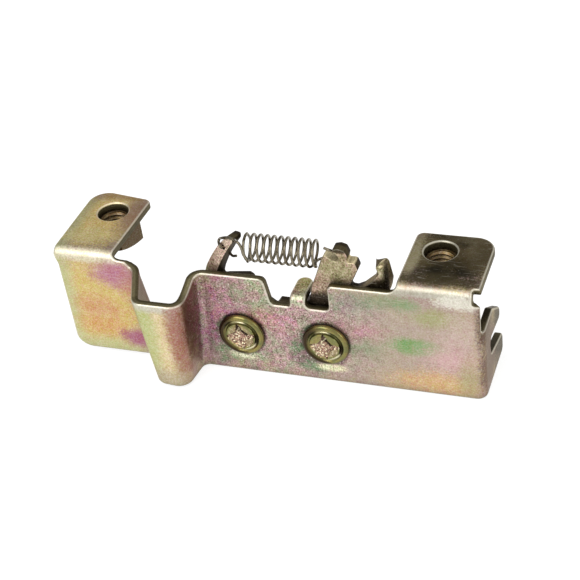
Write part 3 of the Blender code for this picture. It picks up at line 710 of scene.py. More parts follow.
def new_group(name: str, inputs: dict[str, SocketKind], outputs: dict[str, SocketKind]
              ) -> tuple[bpy.types.NodeTree, Wiring, bpy.types.Node, bpy.types.Node]:
    """Starts a shader node group.

    Args:
        name: name of the group.
        inputs: its inputs.
        outputs: its outputs.

    Returns:
        The group, its wiring, its input node and its output node.
    """
    tree = bpy.data.node_groups.new(name, "ShaderNodeTree")
    for label, kind in inputs.items():
        tree.interface.new_socket(label, in_out="INPUT", socket_type=kind.value)
    for label, kind in outputs.items():
        tree.interface.new_socket(label, in_out="OUTPUT", socket_type=kind.value)
    wiring = Wiring(tree)
    return tree, wiring, tree.nodes.new("NodeGroupInput"), tree.nodes.new("NodeGroupOutput")


class Effects:
    """Node groups for the effects that the plated metals share."""

    def __init__(self) -> None:
        """Builds every group once."""
        self.place = self._place()
        self.patch = self._patch()
        self.grain = self._grain()
        self.sheared_rim = self._sheared_rim()
        self.marks = self._marks()

    @staticmethod
    def _place() -> bpy.types.NodeTree:
        """Place of a point on its piece in millimetres."""
        tree, w, _, end = new_group("place_in_millimetres", {}, {"Place": SocketKind.VECTOR})
        source = w.add("ShaderNodeTexCoord")
        scaled = w.vectors("SCALE", source.outputs["Object"])
        scaled.inputs["Scale"].default_value = 1.0 / MM
        w.send(end, {"Place": scaled.outputs[0]})
        return tree

    @staticmethod
    def _patch() -> bpy.types.NodeTree:
        """Soft patch of colour with a ragged, grainy border."""
        tree, w, start, end = new_group(
            "soft_patch",
            {"Place": SocketKind.VECTOR, "Centre": SocketKind.VECTOR, "Reach": SocketKind.VECTOR,
             "Softness": SocketKind.VALUE, "Ragged": SocketKind.VALUE},
            {"Mask": SocketKind.VALUE})
        offset = w.vectors("SUBTRACT", start.outputs["Place"], start.outputs["Centre"])
        share = w.vectors("DIVIDE", offset.outputs[0], start.outputs["Reach"])
        distance = w.vectors("LENGTH", share.outputs[0])
        broad = w.noise(start.outputs["Place"], 0.3, 3.0, 0.6)
        fine = w.noise(start.outputs["Place"], 2.4, 2.0, 0.7)
        broad_part = w.maths("MULTIPLY", w.maths("SUBTRACT", broad.outputs[0], 0.5), 1.7)
        fine_part = w.maths("MULTIPLY", w.maths("SUBTRACT", fine.outputs[0], 0.5), 2.4)
        stray = w.maths("MULTIPLY", w.maths("ADD", broad_part, fine_part), start.outputs["Ragged"])
        moved = w.maths("ADD", distance.outputs["Value"], stray)
        low = w.maths("SUBTRACT", 1.0, start.outputs["Softness"])
        high = w.maths("ADD", 1.0, start.outputs["Softness"])
        w.send(end, {"Mask": w.ramp(moved, low, high, 1.0, 0.0)})
        return tree

    @staticmethod
    def _grain() -> bpy.types.NodeTree:
        """Crystalline grain of a plated surface, as speckle, bright flecks and height."""
        tree, w, start, end = new_group(
            "plated_grain",
            {"Place": SocketKind.VECTOR, "Size": SocketKind.VALUE},
            {"Speckle": SocketKind.VALUE, "Hue": SocketKind.VALUE, "Flecks": SocketKind.VALUE,
             "Height": SocketKind.VALUE})
        scale = w.maths("DIVIDE", 1.0, start.outputs["Size"])
        fine = w.noise(start.outputs["Place"], scale, 2.0, 0.65)
        hue = w.noise(w.vectors("ADD", start.outputs["Place"], (31.0, 7.0, 13.0)).outputs[0],
                      w.maths("MULTIPLY", scale, 0.8), 2.0, 0.6)
        broad = w.noise(start.outputs["Place"], w.maths("MULTIPLY", scale, 0.22), 3.0, 0.6)
        cells = w.add(
            "ShaderNodeTexVoronoi",
            {"Vector": start.outputs["Place"], "Scale": w.maths("MULTIPLY", scale, 0.9)}, feature="F1")
        pick = w.add("ShaderNodeSeparateColor", {0: cells.outputs["Color"]})
        chosen = w.ramp(pick.outputs[0], 0.8, 0.95)
        core = w.ramp(cells.outputs["Distance"], 0.1, 0.5, 1.0, 0.0)
        both = w.blend(fine, 0.7, broad, 0.3)
        w.send(end, {
            "Speckle": w.ramp(both, 0.36, 0.64, -1.0, 1.0, False),
            "Hue": w.ramp(hue.outputs[0], 0.3, 0.7, -1.0, 1.0, False),
            "Flecks": w.maths("MULTIPLY", chosen, core),
            "Height": fine.outputs[0]})
        return tree

    @staticmethod
    def _sheared_rim() -> bpy.types.NodeTree:
        """Sheared rim of a blanked sheet: streaks across the sheet, a torn band at the back, and a painted
        highlight along the die roll in front.
        """
        tree, w, start, end = new_group(
            "sheared_rim",
            {"Flat": SocketKind.VECTOR, "Rim": SocketKind.VALUE, "Thickness": SocketKind.VALUE},
            {"Mask": SocketKind.VALUE, "Painted roll highlight": SocketKind.VALUE, "Rear": SocketKind.VALUE,
             "Streak": SocketKind.VALUE, "Torn": SocketKind.VALUE, "Height": SocketKind.VALUE})
        stretched = w.vectors("MULTIPLY", start.outputs["Flat"], (3.2, 0.55, 3.2))
        streak = w.noise(stretched.outputs[0], 1.0, 3.0, 0.7)
        grit = w.noise(start.outputs["Flat"], 3.5, 2.0, 0.6)
        parts = w.add("ShaderNodeSeparateXYZ", {0: start.outputs["Flat"]})
        share = w.maths("DIVIDE", parts.outputs[1], start.outputs["Thickness"])
        wander = w.maths("MULTIPLY", w.maths("SUBTRACT", streak.outputs[0], 0.5), 0.5)
        torn = w.ramp(w.maths("ADD", share, wander), 0.5, 0.68)
        both = w.blend(streak, 0.6, grit, 0.4)
        mask = w.ramp(start.outputs["Rim"], 0.72, 0.97)
        front = w.ramp(share, 0.5, 0.35, 0.0, 1.0)
        # Painted highlight along the die roll, on the front of the rim.
        roll_highlight_mask = w.maths("MULTIPLY", w.ramp(start.outputs["Rim"], 0.05, 0.4), front)
        w.send(end, {
            "Mask": mask,
            "Painted roll highlight": w.maths("MULTIPLY", roll_highlight_mask, w.maths("SUBTRACT", 1.0, mask)),
            "Rear": w.ramp(share, 0.6, 0.9),
            "Streak": w.ramp(both, 0.35, 0.66, -1.0, 1.0, False),
            "Torn": torn,
            "Height": both})
        return tree

    @staticmethod
    def _marks() -> bpy.types.NodeTree:
        """Handling marks: short fine scratches in a few directions, and dull smudges."""
        tree, w, start, end = new_group(
            "handling_marks",
            {"Place": SocketKind.VECTOR, "Amount": SocketKind.VALUE},
            {"Scratches": SocketKind.VALUE, "Smudges": SocketKind.VALUE})
        lines = []
        for turn, scale in ((0.5, 0.3), (-0.9, 0.25), (1.9, 0.34)):
            turned = w.add("ShaderNodeMapping", {
                "Vector": start.outputs["Place"], "Rotation": (0.3, turn, 0.2), "Scale": (scale, 4.6, 4.6)})
            line = w.noise(turned.outputs[0], 1.0, 0.0, 0.5)
            lines.append(w.ramp(line.outputs[0], 0.76, 0.82))
        total = w.maths("MAXIMUM", w.maths("MAXIMUM", lines[0], lines[1]), lines[2])
        smudge = w.noise(start.outputs["Place"], 0.11, 4.0, 0.6, 0.6)
        w.send(end, {
            "Scratches": w.maths("MULTIPLY", total, start.outputs["Amount"]),
            "Smudges": w.ramp(smudge.outputs[0], 0.42, 0.66)})
        return tree


# ---- Finishes ----


WHITE: Colour = (1.0, 1.0, 1.0, 1.0)
FLECK = srgb(246, 242, 230)
# Colour of the painted highlight along the die roll of the rims.
PAINTED_ROLL_HIGHLIGHT = srgb(236, 232, 214)
SCRATCH = srgb(228, 222, 206)
PINK_MOTTLE = srgb(186, 118, 148)
GREEN_MOTTLE = srgb(122, 150, 112)
# Colour of the painted highlights on the rivet heads.
PAINTED_HIGHLIGHT_COLOUR = srgb(252, 244, 204)
STAKED_FLECK = srgb(252, 240, 232)


@dataclass(frozen=True)
class Patch:
    """One soft patch of colour on a sheet, for chromate tint and also for painted highlights and painted
    shade.
    """

    centre: tuple[float, float, float]
    reach: tuple[float, float, float]
    colour: Colour
    strength: float = 0.8
    softness: float = 0.45
    ragged: float = 1.0


@dataclass(frozen=True)
class PlatedFinish:
    """Zinc plating with a chromate colour: patches of tint, some of them painted highlights and painted
    shade, grain, marks, sheared rims with a painted highlight along the die roll, and painted shade where
    other metal is near.
    """

    name: str
    base: Colour
    second: Colour
    rim: Colour
    torn: Colour
    patches: tuple[Patch, ...] = ()
    rim_patches: tuple[Patch, ...] = ()
    worn: Patch = Patch((0.0, 0.0, 0.0), (1.0, 1.0, 1.0), WHITE, 0.0)
    rear: Colour = (0.1, 0.08, 0.06, 1.0)
    rear_share: float = 0.0
    # Strength of the painted highlight along the die roll of the rims.
    roll: float = 0.55
    coat: float = 0.1
    edge_tint: Colour = (0.62, 0.56, 0.46, 1.0)
    mottle: float = 0.0
    worn_flecks: float = 0.75
    grain: float = 0.36
    speckle: float = 0.17
    hue: float = 0.03
    flecks: float = 0.14
    metallic: float = 0.75
    roughness: float = 0.4
    bump: float = 0.3
    scratches: float = 0.25
    # Share of the colour taken away, at most, by painted shade where other metal is near.
    occlusion_shade: float = 0.55
    thickness: float = 1.6

    def material(self, effects: Effects) -> bpy.types.Material:
        """Builds the material.

        Args:
            effects: the shared node groups.

        Returns:
            The material.
        """
        material, shader, w = new_material(self.name)
        place = w.group(effects.place, {}).outputs["Place"]
        grain = w.group(effects.grain, {"Place": place, "Size": self.grain})
        marks = w.group(effects.marks, {"Place": place, "Amount": self.scratches})
        rim = w.group(effects.sheared_rim, {
            "Flat": w.attribute("flat", "Vector"), "Rim": w.attribute("rim"), "Thickness": self.thickness})
        drift = w.noise(place, 0.16, 4.0, 0.6)

        def share_of(patch: Patch) -> bpy.types.NodeSocket:
            """Strength of one patch at each point."""
            mask = w.group(effects.patch, {
                "Place": place, "Centre": patch.centre, "Reach": patch.reach,
                "Softness": patch.softness, "Ragged": patch.ragged})
            return w.maths("MULTIPLY", mask.outputs["Mask"], patch.strength)

        colour = w.mix(w.ramp(drift.outputs[0], 0.4, 0.62), self.base, self.second)
        # Patches of chromate colour, among them painted highlights and painted shade
        for patch in self.patches:
            colour = w.mix(share_of(patch), colour, patch.colour)
        colour = w.mix(w.maths("MULTIPLY", rim.outputs["Rear"], self.rear_share), colour, self.rear)
        worn = share_of(self.worn)
        blotch = w.noise(w.vectors("ADD", place, (5.0, 3.0, 17.0)).outputs[0], 0.42, 5.0, 0.78, 0.4)
        tinge = w.mix(w.ramp(blotch.outputs[0], 0.4, 0.6), PINK_MOTTLE, GREEN_MOTTLE)
        colour = w.mix(w.maths("MULTIPLY", worn, self.mottle), colour, tinge)
        speckle = w.maths("MULTIPLY_ADD", worn, 0.6, self.speckle)
        shifted = w.add("ShaderNodeHueSaturation", {
            "Hue": w.maths(
                "MULTIPLY_ADD", grain.outputs["Hue"], w.maths("MULTIPLY_ADD", worn, 0.022, self.hue), 0.5),
            "Saturation": w.maths("MULTIPLY_ADD", grain.outputs["Speckle"], -0.25, 1.05),
            "Value": w.maths("MULTIPLY_ADD", grain.outputs["Speckle"], speckle, 1.0),
            "Color": colour})
        flecked = w.maths("MULTIPLY_ADD", worn, self.worn_flecks, self.flecks)
        flecks = w.maths("MULTIPLY", grain.outputs["Flecks"], flecked)
        bright = w.mix(flecks, shifted.outputs[0], FLECK)
        # Painted highlight along the die roll of the rims.
        bright = w.mix(w.maths("MULTIPLY", rim.outputs["Painted roll highlight"], self.roll), bright, PAINTED_ROLL_HIGHLIGHT)
        scratched = w.mix(marks.outputs["Scratches"], bright, SCRATCH)
        edge = w.mix(rim.outputs["Torn"], self.rim, self.torn)
        # Rim patches: darker cut edges, and on the levers painted light on upward cut faces
        for patch in self.rim_patches:
            edge = w.mix(share_of(patch), edge, patch.colour)
        streaked = w.add("ShaderNodeHueSaturation", {
            "Value": w.maths("MULTIPLY_ADD", rim.outputs["Streak"], 0.3, 1.0), "Color": edge})
        dressed = w.mix(rim.outputs["Mask"], scratched, streaked.outputs[0])
        # Painted shade where other metal is near.
        final = w.painted_occlusion_shade(dressed, 0.003, 6, 0.25, 0.95, 1.0 - self.occlusion_shade)
        rough = w.maths("MULTIPLY_ADD", marks.outputs["Smudges"], 0.08, self.roughness - 0.04)
        rough = w.maths("MULTIPLY_ADD", grain.outputs["Speckle"], 0.05, rough)
        rough = w.maths("MULTIPLY_ADD", rim.outputs["Mask"], 0.06, rough, clamp=True)
        height = w.maths("ADD", grain.outputs["Height"], w.maths(
            "MULTIPLY", w.maths("MULTIPLY", rim.outputs["Height"], rim.outputs["Mask"]), 2.0))
        bump = w.add("ShaderNodeBump", {"Height": height, "Distance": 0.00006, "Strength": self.bump})
        w.send(shader, {"Base Color": final, "Roughness": rough, "Normal": bump.outputs[0]})
        shader.inputs["Metallic"].default_value = self.metallic
        shader.inputs["Coat Weight"].default_value = self.coat
        shader.inputs["Coat Roughness"].default_value = 0.24
        shader.inputs["Specular Tint"].default_value = self.edge_tint
        return material


@dataclass(frozen=True)
class StakedFinish:
    """Plated rivet steel: smooth green gold on the turned faces, torn and pinkish where it was staked, with
    painted shade and painted highlights on the head.
    """

    name: str
    base: Colour
    second: Colour
    staked: Colour
    # Colour of the painted shade on the head.
    painted_shade_colour: Colour
    roughness: float = 0.26
    metallic: float = 0.85

    def material(self, effects: Effects) -> bpy.types.Material:
        """Builds the material.

        Args:
            effects: the shared node groups.

        Returns:
            The material.
        """
        material, shader, w = new_material(self.name)
        place = w.group(effects.place, {}).outputs["Place"]
        grain = w.group(effects.grain, {"Place": place, "Size": 0.22})
        torn, painted_shade = w.attribute("staked"), w.attribute("painted_shade")
        drift = w.noise(place, 0.5, 3.0, 0.6)
        colour = w.mix(w.ramp(drift.outputs[0], 0.38, 0.62), self.base, self.second)
        colour = w.mix(torn, colour, self.staked)
        # Painted shade on the left of the ring, in its groove and in the upper arm.
        colour = w.mix(painted_shade, colour, self.painted_shade_colour)
        # Painted highlights on the dish round the boss and along the ridges of the staking.
        colour = w.mix(w.attribute("painted_highlight"), colour, PAINTED_HIGHLIGHT_COLOUR)
        contrast = w.maths("MULTIPLY_ADD", torn, 0.45, 0.15)
        shifted = w.add("ShaderNodeHueSaturation", {
            "Hue": w.maths("MULTIPLY_ADD", grain.outputs["Hue"], 0.03, 0.5),
            "Value": w.maths("MULTIPLY_ADD", grain.outputs["Speckle"], contrast, 1.0),
            "Color": colour})
        flecks = w.maths("MULTIPLY", grain.outputs["Flecks"], w.maths("MULTIPLY_ADD", torn, 0.85, 0.1))
        flecks = w.maths("MULTIPLY", flecks, w.maths("SUBTRACT", 1.0, painted_shade))
        dressed = w.mix(flecks, shifted.outputs[0], STAKED_FLECK)
        # Painted shade where other metal is near.
        final = w.painted_occlusion_shade(dressed, 0.0011, 8, 0.3, 0.9, 0.4)
        rough = w.maths("MULTIPLY_ADD", torn, 0.12, self.roughness)
        rough = w.maths("MULTIPLY_ADD", grain.outputs["Speckle"], 0.04, rough, clamp=True)
        bump = w.add("ShaderNodeBump", {
            "Height": w.maths("MULTIPLY", grain.outputs["Height"], w.maths("MULTIPLY_ADD", torn, 0.85, 0.15)),
            "Distance": 0.00012, "Strength": 0.6})
        w.send(shader, {"Base Color": final, "Roughness": rough, "Normal": bump.outputs[0]})
        shader.inputs["Metallic"].default_value = self.metallic
        return material


@dataclass(frozen=True)
class WireFinish:
    """Drawn spring wire: bright, with faint draw lines and darker stains."""

    name: str
    base: Colour
    stain: Colour
    roughness: float = 0.22

    def material(self, effects: Effects) -> bpy.types.Material:
        """Builds the material.

        Args:
            effects: the shared node groups.

        Returns:
            The material.
        """
        material, shader, w = new_material(self.name)
        place = w.group(effects.place, {}).outputs["Place"]
        grain = w.group(effects.grain, {"Place": place, "Size": 0.16})
        drift = w.noise(place, 0.55, 4.0, 0.65)
        colour = w.mix(w.ramp(drift.outputs[0], 0.42, 0.7), self.base, self.stain)
        shifted = w.add("ShaderNodeHueSaturation", {
            "Value": w.maths("MULTIPLY_ADD", grain.outputs["Speckle"], 0.12, 1.0), "Color": colour})
        rough = w.maths("MULTIPLY_ADD", drift.outputs[0], 0.16, self.roughness - 0.08)
        bump = w.add("ShaderNodeBump", {
            "Height": grain.outputs["Height"], "Distance": 0.00002, "Strength": 0.3})
        w.send(shader, {"Base Color": shifted.outputs[0], "Roughness": rough, "Normal": bump.outputs[0]})
        shader.inputs["Metallic"].default_value = 1.0
        return material


GOLD = srgb(214, 190, 128)
PALE_GREEN = srgb(196, 198, 152)
ORANGE = srgb(214, 164, 118)
MAGENTA = srgb(166, 98, 132)
ROSE = srgb(196, 142, 150)
TEAL = srgb(112, 136, 120)
GREEN = srgb(118, 150, 104)
LIME = srgb(160, 166, 108)
# Painted shade for the valley at the rib's right.
PAINTED_VALLEY_SHADE = srgb(116, 80, 64)
SHELL = srgb(202, 180, 170)

BRACKET_PATCHES = (
    # Left plate and its edges
    Patch((-35.0, -0.5, -14.0), (9.5, 4.0, 14.0), GOLD, 0.95, 0.3, 0.4),
    Patch((-42.6, 0.0, -12.0), (2.8, 4.0, 15.0), PALE_GREEN, 0.85, 0.6, 0.5),
    Patch((-34.5, 0.0, -25.0), (9.0, 4.0, 3.0), PALE_GREEN, 0.85, 0.6, 0.5),
    Patch((-35.5, 0.0, -13.8), (4.6, 3.0, 2.6), srgb(208, 154, 122), 0.7, 0.7, 0.8),
    Patch((-35.0, 0.0, -18.6), (5.5, 3.0, 2.2), ORANGE, 0.7, 0.7, 0.8),
    Patch((-29.6, -0.5, -4.6), (4.8, 2.6, 3.6), srgb(186, 130, 148), 0.95, 0.6, 0.7),
    Patch((-25.6, -1.0, -8.6), (3.0, 2.6, 5.0), srgb(190, 136, 118), 0.7, 0.6, 0.7),
    Patch((-27.6, -0.6, -21.0), (3.6, 2.6, 2.3), MAGENTA, 0.85, 0.5, 0.6),
    # Left tab
    Patch((-36.5, 12.0, 0.0), (6.8, 9.5, 1.8), srgb(246, 218, 150), 0.95, 0.35, 0.4),
    Patch((-43.0, 9.0, 0.0), (2.6, 11.0, 2.4), PALE_GREEN, 0.7, 0.6, 0.6),
    Patch((-38.5, 6.0, 0.0), (6.0, 2.8, 1.6), srgb(232, 218, 160), 0.7, 0.6, 0.8),
    Patch((-31.2, 15.0, 0.0), (2.6, 6.0, 1.6), srgb(166, 134, 118), 0.85, 0.6, 0.8),
    Patch((-37.0, 22.0, 0.0), (7.0, 2.4, 1.6), srgb(184, 154, 116), 0.8, 0.5, 0.7),
    # Rib: painted highlights on its left side, nose and lip, and painted shade on its right side and in the
    # valley at its right
    # Painted highlights on the rib's left side and nose
    Patch((-20.9, -7.0, -13.0), (2.6, 6.0, 14.0), srgb(206, 204, 154), 0.9, 0.5, 0.4),
    Patch((-16.7, -8.6, -12.5), (2.5, 3.2, 12.0), srgb(228, 210, 168), 0.9, 0.5, 0.5),
    Patch((-20.0, -7.8, -12.0), (2.3, 4.0, 10.0), srgb(194, 198, 142), 0.85, 0.5, 0.6),
    # Painted highlight on the rib's lip
    Patch((-16.5, -8.0, -5.0), (7.0, 5.0, 1.3), srgb(206, 202, 188), 0.85, 0.5, 0.4),
    # Painted shade on the rib's right side and in its valley
    Patch((-13.5, -7.2, -12.0), (2.2, 3.4, 12.0), srgb(166, 118, 104), 0.9, 0.5, 0.5),
    Patch((-11.6, -3.8, -11.0), (1.9, 4.2, 12.0), PAINTED_VALLEY_SHADE, 0.95, 0.5, 0.4),
    Patch((-17.6, -8.4, -25.2), (5.0, 3.0, 3.4), srgb(186, 174, 148), 0.8, 0.6, 0.5),
    # Main plate
    Patch((18.0, -0.6, -14.0), (30.0, 3.0, 13.0), srgb(184, 168, 154), 0.85, 0.3, 0.4),
    Patch((-6.4, -0.4, -8.4), (4.8, 2.6, 5.4), srgb(192, 124, 150), 0.85, 0.7, 0.9),
    Patch((-9.6, -0.4, -18.5), (3.4, 2.6, 5.0), srgb(158, 104, 132), 0.8, 0.6, 0.9),
    Patch((-0.6, -0.4, -6.6), (3.8, 2.6, 3.6), srgb(156, 172, 128), 0.6, 0.8, 1.0),
    Patch((0.6, -0.4, -3.6), (2.2, 2.6, 1.4), srgb(196, 200, 160), 0.6, 0.6, 0.7),
    Patch((2.0, -0.4, -12.0), (3.4, 2.6, 2.2), ORANGE, 0.6, 0.8, 0.9),
    Patch((6.0, -0.4, -12.2), (4.4, 2.6, 2.4), ROSE, 0.7, 0.8, 0.9),
    Patch((-8.0, -0.4, -21.6), (3.0, 2.6, 2.2), GREEN, 0.75, 0.7, 0.9),
    Patch((9.4, -0.4, -19.4), (2.6, 2.6, 3.6), srgb(92, 112, 84), 0.8, 0.6, 0.9),
    Patch((20.8, -0.4, -12.4), (4.6, 2.6, 2.2), ROSE, 0.7, 0.8, 0.9),
    Patch((20.6, -0.4, -5.4), (4.2, 2.6, 2.6), TEAL, 0.45, 0.8, 1.0),
    Patch((22.6, -0.4, -16.4), (3.6, 2.6, 2.2), GREEN, 0.5, 0.8, 1.0),
    Patch((33.6, -0.4, -14.6), (5.6, 2.6, 2.0), srgb(124, 164, 104), 0.9, 0.45, 0.5),
    Patch((38.4, -0.4, -7.0), (4.6, 2.6, 2.1), LIME, 0.7, 0.6, 0.7),
    Patch((31.6, -0.4, -4.4), (2.6, 2.6, 1.5), srgb(140, 166, 120), 0.6, 0.6, 0.7),
    Patch((27.6, -0.4, -4.2), (4.0, 2.6, 1.8), GREEN, 0.5, 0.8, 1.0),
    Patch((40.4, -0.4, -16.6), (5.4, 2.6, 4.0), srgb(216, 178, 178), 0.75, 0.8, 0.8),
    Patch((42.2, -0.4, -9.2), (3.6, 2.6, 4.6), SHELL, 0.7, 0.8, 0.8),
    Patch((36.6, -0.4, -23.4), (8.4, 2.6, 2.8), srgb(216, 180, 134), 0.8, 0.7, 0.8),
    Patch((43.6, -0.4, -21.6), (2.0, 2.6, 5.0), srgb(178, 166, 128), 0.75, 0.7, 0.7),
    # Right tab: darker plating with a painted dark reflection, blotches and a painted highlight along its
    # left edge; painted highlights on the bends under both tabs
    # Darker plating and a painted dark reflection on the right tab's top
    Patch((38.0, 12.4, 0.0), (9.6, 8.4, 1.8), srgb(92, 80, 56), 1.0, 0.3, 0.25),
    Patch((40.5, 7.6, 0.0), (4.0, 2.6, 1.6), srgb(66, 57, 36), 0.8, 0.7, 1.0),
    Patch((36.6, 8.4, 0.0), (3.4, 3.0, 1.6), srgb(60, 52, 34), 0.85, 0.7, 1.0),
    Patch((37.2, 5.2, 0.0), (7.4, 1.7, 1.4), srgb(50, 44, 28), 0.9, 0.5, 0.7),
    Patch((42.4, 5.9, 0.0), (2.2, 1.6, 1.6), srgb(28, 24, 13), 0.9, 0.6, 1.0),
    Patch((36.2, 6.1, 0.0), (1.7, 1.3, 1.6), srgb(30, 26, 14), 0.85, 0.6, 1.0),
    Patch((39.9, 15.8, 0.0), (1.7, 1.5, 1.6), srgb(30, 26, 14), 0.8, 0.6, 1.0),
    Patch((36.2, 17.4, 0.0), (4.5, 1.0, 1.6), srgb(36, 31, 18), 0.8, 0.6, 1.0),
    Patch((42.6, 13.4, 0.0), (1.6, 2.0, 1.6), srgb(128, 118, 92), 0.6, 0.7, 1.0),
    Patch((33.2, 12.0, 0.0), (2.2, 4.2, 1.6), srgb(122, 110, 80), 0.6, 0.7, 1.0),
    # Painted highlight along the right tab's left edge
    Patch((31.2, 9.0, 0.0), (1.1, 9.0, 1.6), srgb(186, 176, 142), 0.8, 0.6, 0.7),
    Patch((42.0, 17.2, 0.0), (5.0, 1.6, 1.6), srgb(126, 116, 90), 0.6, 0.7, 1.0),
    Patch((44.4, 12.0, 0.0), (2.2, 7.0, 1.6), srgb(96, 86, 64), 0.7, 0.6, 0.7),
    Patch((37.5, 3.2, 0.0), (9.2, 2.1, 1.3), srgb(74, 66, 44), 0.9, 0.5, 0.6),
    # Painted highlights on the bends under the right tab and the left tab, and at the right corner
    Patch((37.0, 0.25, -1.3), (10.2, 0.95, 1.15), srgb(186, 182, 166), 0.9, 0.45, 0.6),
    Patch((-35.6, 0.6, -0.8), (8.8, 1.4, 1.5), srgb(222, 214, 190), 0.9, 0.5, 0.6),
    Patch((41.6, 0.0, -2.7), (4.2, 1.3, 1.5), srgb(228, 224, 210), 0.9, 0.5, 0.6),
    # Round each rivet: a greenish patch and a bright painted reflection below it, and a dark crescent of
    # painted shadow at its lower left
    Patch((-3.9, 0.0, -21.4), (4.6, 2.0, 2.0), GREEN, 0.75, 0.5, 0.5),
    Patch((12.6, 0.0, -21.4), (4.2, 2.0, 2.4), srgb(88, 122, 84), 0.85, 0.5, 0.5),
    # Painted reflection below each rivet
    Patch((-3.3, 0.0, -21.9), (3.1, 2.0, 1.1), srgb(252, 248, 212), 0.95, 0.4, 0.35),
    Patch((15.2, 0.0, -22.5), (3.0, 2.0, 1.0), srgb(250, 250, 206), 0.95, 0.4, 0.35),
    # Painted shadow: a dark disc that the rivet head covers but for a crescent at its lower left
    Patch((-3.5, 0.0, -16.5), (5.3, 2.0, 5.3), srgb(58, 48, 32), 0.95, 0.08, 0.1),
    Patch((14.4, 0.0, -16.5), (5.3, 2.0, 5.3), srgb(50, 46, 32), 0.95, 0.08, 0.1),
    # Flange
    Patch((46.8, 3.2, -8.0), (1.6, 5.0, 8.0), srgb(98, 78, 68), 0.95, 0.5, 0.6),
    Patch((46.8, 5.0, -19.0), (1.6, 8.0, 6.0), srgb(122, 100, 90), 0.95, 0.5, 0.7),
    Patch((46.4, 16.0, -17.0), (2.2, 7.5, 12.0), srgb(46, 40, 28), 0.95, 0.4, 0.4),
    # Tongue, with a painted highlight on the front of its bend
    Patch((9.6, 4.4, -5.5), (2.4, 3.6, 1.5), srgb(222, 212, 146), 0.9, 0.5, 0.6),
    # Painted highlight on the front of the tongue's bend
    Patch((9.6, 0.6, -6.6), (2.2, 1.5, 1.4), srgb(214, 208, 180), 0.85, 0.5, 0.5),
)

ZINC = PlatedFinish(
    "bracket_plating", srgb(184, 168, 132), srgb(170, 146, 138), srgb(112, 104, 76), srgb(82, 74, 50),
    BRACKET_PATCHES,
    (
        Patch((46.5, 12.0, -12.0), (3.0, 8.0, 12.0), srgb(44, 40, 26), 0.95, 0.3, 0.2),
        Patch((-31.0, 12.0, 0.0), (3.0, 12.0, 3.0), srgb(82, 76, 58), 0.8, 0.3, 0.2),
        Patch((38.0, 12.0, 0.0), (10.0, 10.0, 3.0), srgb(74, 68, 48), 0.8, 0.3, 0.2),
    ),
    worn=Patch((2.0, 0.0, -12.0), (20.0, 6.0, 16.0), WHITE, 1.0, 0.5, 0.3),
    rear=srgb(84, 56, 46), rear_share=0.85, mottle=0.42)
LEVER_ZINC = PlatedFinish(
    "lever_plating", srgb(188, 177, 144), srgb(180, 152, 132), srgb(84, 75, 52), srgb(56, 48, 33),
    (
        Patch((17.6, 1.9, 1.0), (3.4, 2.0, 3.4), srgb(158, 150, 112), 0.8, 0.6, 0.8),
        Patch((13.6, 1.9, -2.4), (2.6, 2.0, 2.6), srgb(170, 142, 124), 0.8, 0.6, 0.8),
        # Painted shade on the release lever's face in the slot below the tongue
        Patch((14.0, 1.9, -7.6), (4.0, 2.0, 2.6), srgb(44, 36, 26), 0.95, 0.4, 0.3),
        # Painted shade on the face below the cradle
        Patch((26.0, 2.3, -2.4), (3.2, 1.6, 2.0), srgb(50, 42, 28), 0.95, 0.4, 0.3),
        # Painted shade on the front of the head
        Patch((18.8, 1.9, 5.9), (2.4, 2.0, 1.0), srgb(60, 52, 36), 0.95, 0.3, 0.3),
        # Painted shade between the horn's knob and its face
        Patch((27.6, 3.1, -0.4), (0.6, 0.9, 3.6), srgb(46, 38, 26), 0.9, 0.5, 0.4),
        Patch((28.2, 4.6, 0.2), (0.6, 1.2, 3.4), srgb(138, 126, 96), 0.9, 0.5, 0.4),
        Patch((26.5, 2.2, 2.7), (0.9, 0.8, 1.1), srgb(132, 120, 86), 0.9, 0.5, 0.4),
        # Painted highlight on the knob's edge
        Patch((26.8, 2.3, 2.4), (0.35, 0.6, 0.3), srgb(250, 236, 190), 0.95, 0.6, 0.3),
        Patch((-5.4, 2.6, 2.0), (2.6, 4.0, 5.0), srgb(232, 204, 186), 0.85, 0.6, 0.6),
    ),
    (
        # Painted light on the upward cut faces of the notch and the shoulder
        Patch((16.9, 3.2, 3.5), (3.0, 3.4, 1.4), srgb(246, 232, 190), 0.98, 0.25, 0.2),
        Patch((20.9, 3.2, 3.0), (1.1, 3.4, 0.6), srgb(240, 224, 180), 0.98, 0.25, 0.15),
        Patch((24.2, 3.2, -1.2), (2.6, 3.0, 2.2), srgb(136, 120, 88), 0.9, 0.4, 0.3),
        Patch((27.0, 4.2, 3.2), (2.2, 3.0, 1.2), srgb(104, 92, 66), 0.9, 0.4, 0.4),
    ),
    worn=Patch((6.0, 3.0, -2.0), (26.0, 8.0, 12.0), WHITE, 0.8, 0.4, 0.3),
    # roll sets the painted highlight along the lever rims.
    roll=0.12, grain=0.34, flecks=0.05, worn_flecks=0.12, thickness=2.6, metallic=0.7, roughness=0.42,
    edge_tint=(0.4, 0.35, 0.28, 1.0))
NUT_ZINC = PlatedFinish(
    "nut_plating", srgb(128, 108, 76), srgb(106, 88, 62), srgb(84, 68, 48), srgb(64, 50, 34),
    (Patch((-31.4, 15.2, -4.5), (1.9, 7.0, 4.0), srgb(98, 84, 66), 0.9, 0.3, 0.3),),
    grain=0.3, metallic=0.85, roughness=0.34, occlusion_shade=0.4)
# The fourth colour is the painted shade of the rivet heads.
RIVET_ZINC = StakedFinish(
    "rivet_plating", srgb(150, 138, 80), srgb(124, 124, 76), srgb(186, 152, 132), srgb(50, 34, 20), 0.2)
SPRING_WIRE = WireFinish("spring_wire", srgb(132, 124, 106), srgb(82, 72, 54), 0.18)


# ---- Sub-assemblies ----


class Run(IntEnum):
    """Runs of the bracket's plan, from left to right, that other forms start at."""

    LEFT_FOOT = 1
    LEFT_NOSE = 3
    RIGHT_WALL = 6
    MAIN = 8
    CORNER = 9
    FLANGE = 10


